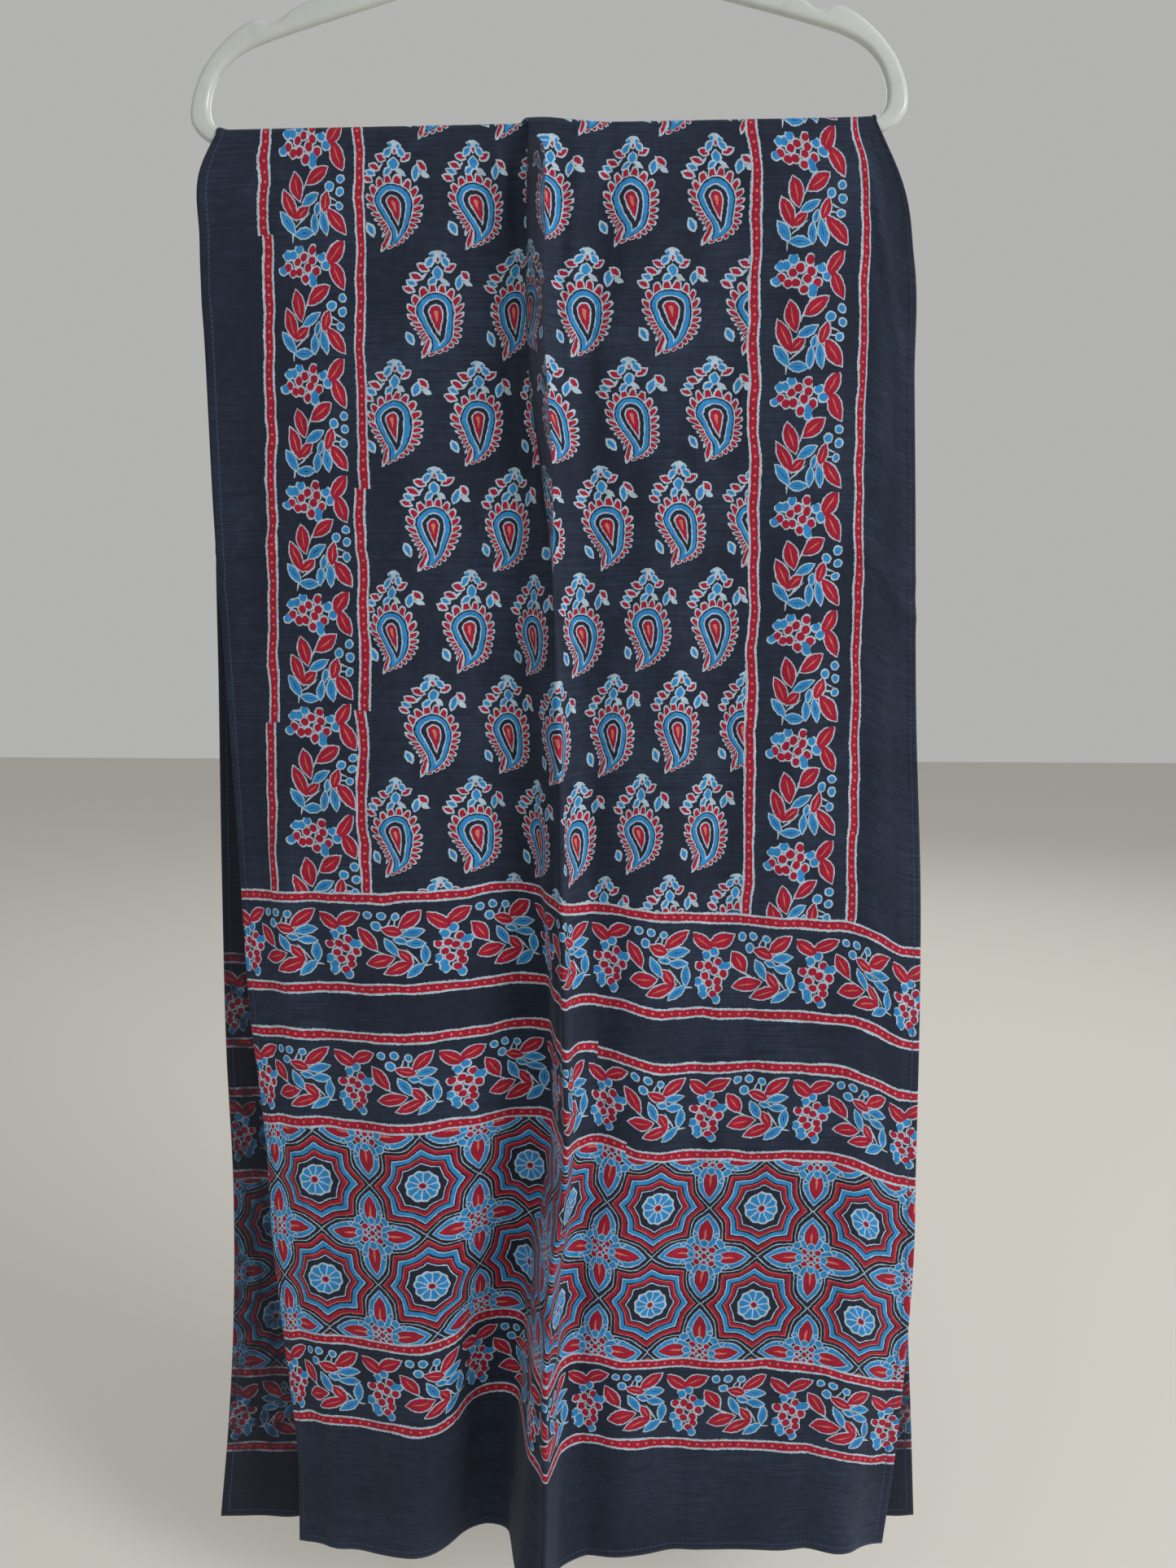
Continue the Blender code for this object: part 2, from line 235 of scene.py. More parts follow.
# The sum over the creases of height times e to the minus (distance to the line over its half width)²
def creaseHeight(u, down):
    total = np.zeros(np.broadcast(u, down).shape)
    for crease in creases:
        (u0, v0), (u1, v1) = crease["from"], crease["to"]
        run = math.hypot(u1 - u0, v1 - v0)
        along = ((u - u0) * (u1 - u0) + (down - v0) * (v1 - v0)) / run**2
        beside = ((u - u0) * (v1 - v0) - (down - v0) * (u1 - u0)) / run
        past = np.maximum(np.abs(along - 0.5) - 0.5, 0.0) * run / 3
        total += crease["height"] * np.exp(-((beside / crease["half"]) ** 2) - (past / crease["half"]) ** 2)
    return total


# A sum of sines of the place across, leaning with the distance down, that grows over the first 200 mm
def rippleHeight(u, down):
    total = 0.0
    for ripple in ripples:
        turns = (u + ripple["lean"] * down + 9.0 * np.sin(down / 140 + ripple["start"])) / ripple["wave"]
        total = total + ripple["height"] * np.sin(2 * np.pi * turns + ripple["start"])
    return total * np.clip(down / 200, 0.15, 1.0)


# Fine gathers where the cloth bends over the bar, gone within about 60 mm of it
def gatherHeight(u, down):
    return 0.5 * np.sin(u / 3.4 + 1.7 * np.sin(u / 23)) * np.exp(-down / 28)


# The pleat that starts the main fold at the bar: how far down it holds and fades in front and behind, how
# far it doubles back and stands proud, how much cloth it hides, and the share of that from the left
pleat = {"half": 6.5, "double": 8.0, "proud": 3.2, "settles": 26.0, "hides": 50.0, "fromLeft": 0.46,
         "centre": 226.0, "frontHolds": 150.0, "frontFades": 190.0, "backHolds": 12.0, "backFades": 60.0}


# 3t² - 2t³ of a value held between 0 and 1
def eased(t):
    t = np.clip(t, 0.0, 1.0)
    return t * t * (3 - 2 * t)


# Signed distances down, positive in front, give the share of the pleat that is left there
def pleatShare(v):
    inFront = 1 - eased((v - pleat["frontHolds"]) / pleat["frontFades"])
    return np.where(v >= 0, inFront, 1 - eased((-v - pleat["backHolds"]) / pleat["backFades"]))


# An S across the sheet: x runs back by a sine over the pleat's width while the depth rises through it, and
# the depth settles to the right of it as e to the minus square
def pleatShift(u, v, centre):
    s = np.clip((u - centre) / pleat["half"], -1.0, 1.0)
    beyond = np.maximum(u - centre - pleat["half"], 0.0) / pleat["settles"]
    share = pleatShare(v)
    sideways = -share * pleat["double"] * np.sin(np.pi * s)
    return sideways, share * pleat["proud"] * eased((s + 1) / 2) * np.exp(-(beyond**2))


# A layer's points at each distance down and each place across. x keeps the cloth's own width along its
# folds and is scaled on each side to reach the margin's line and the edge, y is the sum of the folds.
def layerPoints(table, down, columns, side, hemDrop, hemRise):
    u = np.arange(0.0, cloth["width"] + 0.5, 0.5)[None, :]
    v = down[:, None]
    at = {name: smoothRead(table, name, down)[:, None] for name in table if name != "down"}
    depth = at["base"] + at["leftWave"] * hump(u, *waves["leftWave"])
    depth = depth + at["rightWave"] * hump(u, *waves["rightWave"])
    sag = np.zeros_like(depth)
    crestU = np.full_like(v, waves["nest"][0])
    if table is front:
        crestU = at["crestU"]
        depth += at["fold"] * tent(u, crestU, at["leftRun"], at["rightRun"])
        pinch = np.exp(-(np.sqrt((u - crestU) ** 2 + 2.0) - 1.4) / cloth["pinchRun"])
        depth += cloth["pinch"] * eased((v - 180) / 200) * pinch
        depth -= at["recess"] * hump(u, at["recessU"], at["recessRun"])
        depth -= at["leftTurn"] * hump(u, 0, edgeTurnRun)
        depth -= at["rightTurn"] * hump(u, cloth["width"], edgeTurnRun)
        sag = at["foldSag"] * hump(u, crestU, sagRun) + at["rightSag"] * hump(u, cloth["width"], sagRun)
    else:
        depth -= at["nest"] * hump(u, *waves["nest"])
    slope = np.gradient(depth, u[0], axis=1) ** 2 + np.gradient(sag, u[0], axis=1) ** 2
    step = np.sqrt(np.clip(1.0 - slope, 0.06, 1.0))
    run = np.concatenate([np.zeros_like(v), np.cumsum((step[:, 1:] + step[:, :-1]) / 4, axis=1)], axis=1)
    rightLine = cloth["width"] - cloth["rightMargin"]
    x = np.empty((len(down), len(columns)))
    for i in range(len(down)):
        marks = np.interp([0.0, cloth["leftMargin"], crestU[i, 0], rightLine, cloth["width"]], u[0], run[i])
        places = [at[name][i, 0] for name in ("leftX", "leftLineX", "crestX", "rightLineX", "rightX")]
        x[i] = np.interp(np.interp(columns, u[0], run[i]), marks, places)
    pick = (columns / 0.5).round().astype(int)
    flat = columns[None, :]
    sideways, proud = pleatShift(flat, -side * v, crestU if table is front else pleat["centre"])
    x += sideways
    detail = creaseHeight(flat, v) + rippleHeight(flat, v) + gatherHeight(flat, v)
    if table is back:
        detail = 0.8 * rippleHeight(flat + 37, v) + gatherHeight(flat, v)
    quarter = cloth["bendRadius"] * math.pi / 2
    arcZ = cloth["barTopZ"] + cloth["barGap"] + cloth["thickness"] / 2 - cloth["bendRadius"]
    rise = hemRise * (flat / cloth["width"] - 0.5) * v / hemDrop
    z = arcZ - np.maximum(v - quarter - rise, 0.0) - sag[:, pick]
    settled = np.clip(v / 30, 0.0, 1.0)
    return np.stack([x, side * (depth[:, pick] + detail * settled + proud), z], axis=2)


# The middle surface of the whole cloth, from the front hem over the bar to the back hem, with the
# distance down of each row: positive in front and negative behind
def middleSurface(columns):
    quarter = cloth["bendRadius"] * math.pi / 2
    hem = cloth["hemWidth"]
    rows = []
    for drop, step in ((cloth["frontDrop"], cloth["rowStep"]), (cloth["backDrop"], cloth["backRowStep"])):
        inner = np.linspace(quarter, drop - 1.25 * hem, round((drop - quarter) / step))
        rows.append(np.concatenate([inner, drop - np.array([1.0, 0.82, 0.4, 0.0]) * hem]))
    frontDown, backDown = rows[0][::-1], rows[1]
    frontPoints = layerPoints(front, frontDown, columns, -1, cloth["frontDrop"], cloth["frontHemRise"])
    backPoints = layerPoints(back, backDown, columns, 1, cloth["backDrop"], cloth["backHemRise"])
    angles = np.linspace(0, math.pi, cloth["arcSteps"] + 1)[1:-1, None]
    share = (1 - np.cos(angles)) / 2
    frontTop, backTop = frontPoints[-1], backPoints[0]
    arc = frontTop[None] * (1 - share[..., None]) + backTop[None] * share[..., None]
    reach = np.where(angles < math.pi / 2, -frontTop[None, :, 1], backTop[None, :, 1])
    arc[..., 1] = -np.cos(angles) * reach
    # The ends of the bend lie on the bar where it starts to turn up
    lift = 0.45 * np.maximum(np.abs(arc[..., 0]) - 200.0, 0.0)
    lift += pleatShift(columns[None, :], np.zeros((1, 1)), pleat["centre"])[1]
    arc[..., 2] += np.sin(angles) * (cloth["bendRadius"] + lift)
    arcDown = cloth["bendRadius"] * (math.pi / 2 - angles[:, 0])
    points = np.concatenate([frontPoints, arc, backPoints])
    down = np.concatenate([frontDown, arcDown, -backDown])
    return points, down


# Columns across the flat cloth: closest on the fold's crest and at the hems
def clothColumns():
    hem = cloth["hemWidth"]
    edge = np.array([0.0, 0.4, 0.82, 1.0, 1.25]) * hem
    middle = np.concatenate([
        np.linspace(10, 100, 20), np.linspace(104.5, 196, 21), np.linspace(199, 216, 6),
        np.arange(217.5, 237.0, 1.0), np.linspace(238, 272, 13), np.linspace(276, 384, 24),
        np.linspace(388.5, 480, 21),
    ])
    return np.unique(np.round(np.concatenate([edge, middle, cloth["width"] - edge]) * 2) / 2)


columns = clothColumns()
middle, down = middleSurface(columns)
rowCount, columnCount = middle.shape[:2]
print("cloth surface", rowCount, "rows,", columnCount, "columns")

# Where the print lies on the flat cloth

# Rows of the end's printed lines below the bar, at the left edge of the front layer, in millimetres
lineRows = (485.0, 546.0, 578.0, 640.0, 794.0, 853.0)
bandCentres = (515.5, 609.0, 823.5)
# Lines that run down the cloth, by their place across
lineColumns = (36.5, 97.0, 368.0, 436.0)
# Where one block's print joins the next: the line, how far it lies off there, and from where to where
joints = {
    "downward": {0: [(-2.0, -600, 67), (-2.5, 370, 600)], 1: [(3.0, -600, 222), (-3.0, 363, 600)]},
    "across": {2: [(2.6, 271, 600)], 3: [(2.2, 293, 600)]},
}
# The end was printed askew: how much lower its lines lie across the front, at three rows
askew = {
    "across": (0, 60, 110, 140, 170, 205, 232, 262, 282, 308, 345, 390, 440, 490),
    500: (0, 0, 0, -1, -3, -6, -3, 3, 8, 13, 16, 19, 22, 25),
    620: (0, 0, 1, -1, -3, -6, -6, 2, 10, 21, 22, 22, 25, 28),
    830: (0, 1, 0, -12, -9, -4, 4, 7, 9, 12, 17, 18, 22, 30),
}
backEndShift = 49.0


# The row of the end's print at each point: the distance down less the slant of the front's print, or
# less the longer plain end behind
def printRow(u, v):
    stations = (500, 620, 830)
    shifts = np.array([np.interp(u, askew["across"], askew[row]) for row in stations])
    smooth = np.array([np.convolve(np.pad(shift, 2, "edge"), np.ones(5) / 5, "valid") for shift in shifts])
    slant = np.array([[np.interp(abs(row), stations, smooth[:, j]) for j in range(len(u))] for row in v])
    return np.where(v[:, None] > 0, v[:, None] - slant, -v[:, None] - backEndShift)


endRow = printRow(columns, down)

# How far the rows of blocks were set down to the left before the fold and to the right past it, by the
# distance down; on the left that fades towards the fold, and behind the bar both do
fieldSlip = {"down": (0, 200, 330, 480), "left": (2.0, 4.0, 6.0, 7.0), "right": (9.5, 9.5, 5.0, 0.0),
             "leftEnds": 170, "leftRun": 49, "backRun": 40}


# Where the field's print lies: the pleat takes in cloth, so the print beside it is drawn apart between the
# inner lines, by a share of what is hidden that falls from the pleat to each line
def fieldAcross(u, v):
    flat, centre = u[None, :], smoothRead(front, "crestU", np.maximum(v, 0.0))[:, None]
    left, right = lineColumns[1], lineColumns[2]
    fromLeft, fromRight = pleat["fromLeft"], 1 - pleat["fromLeft"]
    before = -fromLeft * (flat - left) / (centre - left)
    beside = np.where(flat < centre, before, fromRight * (right - flat) / (right - centre))
    across = eased((flat - centre + pleat["half"]) / (2 * pleat["half"]))
    inside = across - fromLeft
    near = np.abs(flat - centre) < pleat["half"]
    taken = np.where((flat > left) & (flat < right), np.where(near, inside, beside), 0.0)
    moved = pleat["hides"] * pleatShare(v)[:, None] * taken
    toLeft = np.interp(v, fieldSlip["down"], fieldSlip["left"])[:, None]
    toLeft = toLeft * np.clip((fieldSlip["leftEnds"] - flat) / fieldSlip["leftRun"], 0.0, 1.0)
    toRight = np.interp(v, fieldSlip["down"], fieldSlip["right"])[:, None] * across
    return flat + moved + (toLeft - toRight) * np.clip(1 + v / fieldSlip["backRun"], 0.0, 1.0)[:, None]


fieldColumn = fieldAcross(columns, down)

# The cloth's mesh

# The print side and the wrong side are half the thickness off the middle surface along its normal
alongAcross = np.gradient(middle, axis=1)
alongDown = np.gradient(middle, axis=0)
normal = np.cross(alongAcross, alongDown)
normal /= np.linalg.norm(normal, axis=2, keepdims=True)
fromEdge = np.minimum(columns, cloth["width"] - columns)[None, :]
fromHem = np.where(down > 0, cloth["frontDrop"] - down, cloth["backDrop"] + down)[:, None]
hemDistance = np.minimum(fromEdge, fromHem)
hemShare = np.clip((1.1 * cloth["hemWidth"] - hemDistance) / (0.2 * cloth["hemWidth"]), 0.0, 1.0)
rounding = np.sqrt(np.clip(hemDistance / 1.5, 0.12, 1.0))
thick = (cloth["thickness"] + (cloth["hemThickness"] - cloth["thickness"]) * hemShare) * rounding
half = thick[..., None] / 2
points = np.concatenate([middle + normal * half, middle - normal * half]).reshape(-1, 3) * mm

layerSize = rowCount * columnCount
index = np.arange(layerSize).reshape(rowCount, columnCount)
quads = np.stack([index[:-1, :-1], index[:-1, 1:], index[1:, 1:], index[1:, :-1]], axis=-1).reshape(-1, 4)
rims = []
for line in (index[0], index[::-1, 0], index[-1, ::-1], index[:, -1]):
    rims.append(np.stack([line[1:], line[:-1], line[:-1] + layerSize, line[1:] + layerSize], axis=-1))
faces = np.concatenate([quads, quads[:, ::-1] + layerSize, *rims])

clothMesh = bpy.data.meshes.new("printedCloth")
clothMesh.from_pydata(points.tolist(), [], faces.tolist())
corners = np.empty(len(faces) * 4, int)
clothMesh.loops.foreach_get("vertex_index", corners)


# Stores one pair of values for each face corner as a UV map
def addMap(mesh, name, across, up):
    layer = mesh.uv_layers.new(name=name)
    layer.data.foreach_set("uv", np.stack([across, up], axis=1).ravel().astype(np.float32))


onLayer = corners % layerSize
cornerU = np.tile(columns, rowCount)[onLayer]
cornerV = np.repeat(down, columnCount)[onLayer]
cornerRow = endRow.ravel()[onLayer]
isBack = cornerV < 0
addMap(clothMesh, "flat", cornerU * mm, cornerV * mm)
addMap(clothMesh, "field", fieldColumn.ravel()[onLayer] * mm, cornerV * mm)
addMap(clothMesh, "end", np.where(isBack, cloth["width"] - cornerU, cornerU) * mm, cornerRow * mm)

# The map for baking gives one strip to each side of each layer, the front's print side the widest
faceIsBack = np.repeat(down[onLayer.reshape(-1, 4) // columnCount].mean(axis=1) < 0, 4)
faceIsWrong = np.repeat((faces >= layerSize).all(axis=1), 4)
strips = {(False, False): (0.0, 0.50), (True, False): (0.50, 0.28), (False, True): (0.78, 0.08),
          (True, True): (0.86, 0.14)}
stripStart, stripWidth = np.empty(len(corners)), np.empty(len(corners))
for (behind, wrong), (start, width) in strips.items():
    chosen = (faceIsBack == behind) & (faceIsWrong == wrong)
    stripStart[chosen], stripWidth[chosen] = start, width
drop = np.where(faceIsBack, cloth["backDrop"], cloth["frontDrop"])
bakeU = stripStart + stripWidth * (0.01 + 0.98 * cornerU / cloth["width"])
bakeV = 0.004 + 0.992 * np.clip(np.abs(cornerV) / drop, 0.0, 1.0)
addMap(clothMesh, "OFBake", bakeU, bakeV)

for name, values in (("wrongSide", np.repeat([0.0, 1.0], layerSize)),
                     ("hemDistance", np.tile(hemDistance.ravel(), 2))):
    clothMesh.attributes.new(name, "FLOAT", "POINT").data.foreach_set("value", values.astype(np.float32))

# Which print each face carries: 0 paisley field, 1 side border, 2 vine band, 3 lattice, 4 plain
meanU = cornerU.reshape(-1, 4).mean(axis=1)
meanRow = cornerRow.reshape(-1, 4).mean(axis=1)
limits = [np.full(len(faces), row) for row in lineRows]
for line, moves in joints["across"].items():
    for shift, start, end in moves:
        limits[line][(meanU > start) & (meanU < end)] += shift
first, second, third, fourth, fifth, sixth = limits
outerLeft, innerLeft, innerRight, outerRight = lineColumns
slots = np.full(len(faces), 4)
aboveEnd = meanRow < first
slots[aboveEnd & (meanU > innerLeft) & (meanU < innerRight)] = 0
slots[aboveEnd & (meanU > outerLeft) & (meanU < innerLeft)] = 1
slots[aboveEnd & (meanU > innerRight) & (meanU < outerRight)] = 1
for top, bottom in ((first, second), (third, fourth), (fifth, sixth)):
    slots[(meanRow >= top) & (meanRow < bottom)] = 2
slots[(meanRow >= fourth) & (meanRow < fifth)] = 3
clothMesh.polygons.foreach_set("material_index", slots.astype(np.int32))
clothMesh.shade_smooth()
clothMesh.update()
print("cloth mesh", 2 * len(faces), "triangles")

# The print

ink = {
    "ground": "#1a2232",
    "groundFaded": "#2a3548",
    "crimson": "#9a1530",
    "salmon": "#c4705f",
    "blue": "#2b80bd",
    "resist": "#a8bcc9",
    "thread": "#364256",
    "wrongGround": "#20222d",
}
inks = {name: linear(colour) for name, colour in ink.items()}

# Widths of the printed line, the dots in it and the resist outlines round the motifs, in millimetres
lines = {"redHalf": 2.35, "resistHalf": 3.8, "dotRadius": 0.8, "dotPitch": 5.7, "outline": 0.85}


# Lays one colour over another where a value is below a limit
def paint(add, colour, value, limit, over):
    mask = add("Math", (value, limit), "LESS_THAN")
    return mixed(add, mask, colour, over)


# A pointed leaf: below 0 inside, half width times (x² + |y| - 1) with x and y as shares of its halves.
# Its midrib is half width times |y| + 1.2 x², least on the middle of its length. Each leaf is (across, up,
# half length, half width, turn in degrees).
def leafField(add, point, leaves, field=None, midribs=False):
    rib = None
    for across, up, halfLength, halfWidth, turn in leaves:
        placed = add("Mapping", (point, (across, up, 0), (0, 0, math.radians(turn)),
                                           (halfLength, halfWidth, 1)), vector_type="TEXTURE")
        split = add("SeparateXYZ", (placed,)).node
        beside = add("Math", (split.outputs[1],), "ABSOLUTE")
        squared = add("Math", (split.outputs[0], split.outputs[0]), "MULTIPLY")
        shape = add("Math", (squared, beside), "ADD")
        inside = add("Math", (shape, halfWidth, -halfWidth), "MULTIPLY_ADD")
        field = inside if field is None else add("Math", (field, inside), "MINIMUM")
        if midribs:
            vein = add("Math", (beside, halfWidth), "MULTIPLY")
            vein = add("Math", (squared, 1.2, vein), "MULTIPLY_ADD")
            rib = vein if rib is None else add("Math", (rib, vein), "MINIMUM")
    return (field, rib) if midribs else field


# Round berries: below 0 inside, the distance to the centre less the radius. Each is (across, up, radius).
def discField(add, point, discs, field=None):
    for across, up, radius in discs:
        away = add("VectorMath", (point, (across, up, 0)), "DISTANCE", output=1)
        inside = add("Math", (away, radius), "SUBTRACT")
        field = inside if field is None else add("Math", (field, inside), "MINIMUM")
    return field


# A motif's fill inside its resist outline
def outlined(add, colour, field, fill, ragged):
    colour = paint(add, colour, field, 0.0, inks["resist"])
    return paint(add, colour, field, ragged, fill)


# The vine's block, about the middle of its band: s runs along it and t to its top, in millimetres
vine = {
    "tile": 67.8,
    "start": -13.9,
    "redLeaves": [
        (-7.2, 14.6, 10.0, 4.9, -36), (5.0, 16.6, 10.2, 4.9, 26), (16.6, 3.9, 9.4, 5.0, -54),
        (22.4, -10.4, 9.8, 5.1, 14), (38.0, -7.2, 6.8, 3.9, -52), (33.4, -15.4, 10.8, 4.5, 24),
        (43.0, 15.8, 10.4, 4.8, 37), (32.0, 9.4, 7.6, 3.9, -16),
    ],
    "blueLeaves": [
        (44.4, 7.8, 7.8, 3.3, 8), (45.0, 1.2, 6.8, 3.1, -4), (36.4, 3.4, 4.6, 2.5, -12),
        (30.4, -1.0, 7.8, 3.3, -62), (49.8, -6.6, 7.4, 3.4, -94), (43.4, -17.0, 8.2, 3.4, 38),
    ],
    "berries": [(18.4, 19.4, 2.8), (26.0, 19.6, 2.8), (34.2, 18.6, 2.7), (23.0, 12.6, 3.1)],
    "stalks": [(19.6, -3.0, 8.6, 0.6, -24), (42.6, -7.4, 7.4, 0.6, -55), (49.6, -14.2, 5.5, 0.6, -4),
               (29.6, 14.2, 4.6, 0.5, 65), (33.4, 14.4, 3.4, 0.5, 85)],
    "clusterCentre": (-0.6, -6.0),
    "clusterHalf": (11.2, 15.6),
    "clusterLean": -6,
    "petalPitch": 5.7,
    "petalSlant": 27,
    "petalJitter": 0.6,
    "petalRim": 0.60,
    "petalInk": 0.43,
    "blueChance": 0.3,
    "bluePast": 0.93,
    "redRib": 0.38,
    "blueRib": 0.22,
}
# The side borders' blocks, left and then right: the middle across, the first one down and their pitch
sideVine = {"parting": 250.0, "middle": (68.0, 402.0), "first": (86.0, 97.0), "pitch": (71.8, 73.4)}
# Where one band's rows end and the next one's start, and where the bands' first block starts across
bandVine = {"partings": (562.0, 720.0), "first": 8.0}


# The vine on its block: leaves, berries, and a cluster of round petals on a jittered grid, kept whole by
# testing each petal's own centre against the cluster's oval, with blue petals round its rim
def vineColour(add, colour, s, t, rough):
    wrapped = add("Math", (s, vine["start"] + vine["tile"], vine["start"]), "WRAP")
    point = add("CombineXYZ", (wrapped, t))
    edge = add("Math", (rough, 0.8, -lines["outline"] - 0.4), "MULTIPLY_ADD")
    stalks = leafField(add, point, vine["stalks"])
    colour = paint(add, colour, stalks, 0.0, inks["resist"])
    reds, ribs = leafField(add, point, vine["redLeaves"], midribs=True)
    colour = outlined(add, colour, reds, inks["crimson"], edge)
    colour = paint(add, colour, ribs, vine["redRib"], inks["salmon"])
    blues, ribs = leafField(add, point, vine["blueLeaves"], midribs=True)
    blues = discField(add, point, vine["berries"], blues)
    colour = outlined(add, colour, blues, inks["blue"], edge)
    colour = paint(add, colour, ribs, vine["blueRib"], inks["ground"])
    pitch = vine["petalPitch"]
    slant = math.radians(vine["petalSlant"])
    grid = add("Mapping", (point, (*vine["clusterCentre"], 0), (0, 0, slant), (pitch, pitch, 1)),
                   vector_type="TEXTURE")
    cells = add("TexVoronoi", {"Vector": grid, "Scale": 1.0, "Randomness": vine["petalJitter"]},
                    voronoi_dimensions="2D").node
    centre = add("Mapping", (cells.outputs["Position"], (0, 0, 0),
                                       (0, 0, math.radians(vine["clusterLean"]) - slant),
                                       tuple(h / pitch for h in vine["clusterHalf"]) + (1,)),
                     vector_type="TEXTURE")
    outside = add("VectorMath", (centre,), "LENGTH", output=1)
    kept = add("Math", (outside, 1.0), "GREATER_THAN")
    petal = add("Math", (cells.outputs["Distance"], kept), "ADD")
    colour = paint(add, colour, petal, vine["petalRim"], inks["resist"])
    pick = add("SeparateXYZ", (cells.outputs["Color"],))
    rim = add("Math", (pick, vine["blueChance"], outside), "MULTIPLY_ADD")
    bluePetal = add("Math", (rim, vine["bluePast"]), "GREATER_THAN")
    petalInk = mixed(add, bluePetal, inks["crimson"], inks["blue"])
    return paint(add, colour, petal, vine["petalInk"], petalInk)


# The paisley's cell, and the place of the first one: pitches across and down in millimetres. Its drop is
# ring upon ring about (0, shoulder); crown, sprig and loop are leaves about the middle of the drop.
paisley = {
    "across": 43.4,
    "down": 65.5,
    "firstAcross": 121.0,
    "firstDown": 16.0,
    "top": 41.0,
    "shoulder": 7.0,
    "drop": 23.6,
    "dropHalf": 9.7,
    "size": (0.95, 1.11),
    "interlock": 4.5,
    "teeth": 24,
    "toothBase": 1.3,
    "toothHeight": 4.6,
    "rings": [(1.0, "resist"), (0.3, "ground"), (-0.5, "blue"), (-2.9, "resist"), (-3.6, "ground"),
              (-5.9, "resist"), (-6.7, "crimson"), (-8.9, "salmon")],
    "redLeaves": [(-7.2, 30.8, 4.2, 2.6, -22), (-11.2, 26.2, 4.3, 2.5, -24), (-15.2, 19.6, 4.2, 2.3, 155),
                  (7.4, 31.4, 4.0, 2.5, 30), (16.4, 26.6, 3.8, 2.5, -46), (0.8, 35.0, 2.0, 1.9, 90)],
    "blueLeaves": [
        (-13.6, 23.0, 3.6, 2.2, -26), (0.6, 28.0, 4.0, 3.3, 90), (-2.6, 23.6, 3.8, 2.3, 40),
        (-3.4, 33.6, 3.9, 2.5, 52), (4.6, 34.2, 3.6, 2.4, -50), (12.6, 23.2, 4.6, 2.6, 78),
    ],
    "resistLeaves": [(0.6, 38.0, 4.6, 2.2, -4), (4.2, 23.8, 3.6, 1.5, -38), (17.8, 22.2, 3.0, 1.5, -28),
                     (-8.0, 25.6, 3.6, 0.9, 42)],
    "beads": [(-2.0, 37.4, 1.1), (3.0, 37.2, 1.0)],
    "loop": (-13.4, -7.6, 4.4, 2.6, -62),
    "loopEdge": -1.3,
    "crownEdge": -1.6,
    "leansBelow": 8.0,
    "lean": 0.2,
    "curlsBelow": -6.0,
    "curl": 0.075,
    "taperPower": 1.42,
    "footBelow": -14.6,
    "footSlope": 1.1,
    "rimGap": 0.3,
    "toothPower": 3.2,
    "redToothShort": 2.3,
    "outOfCell": 900.0,
}


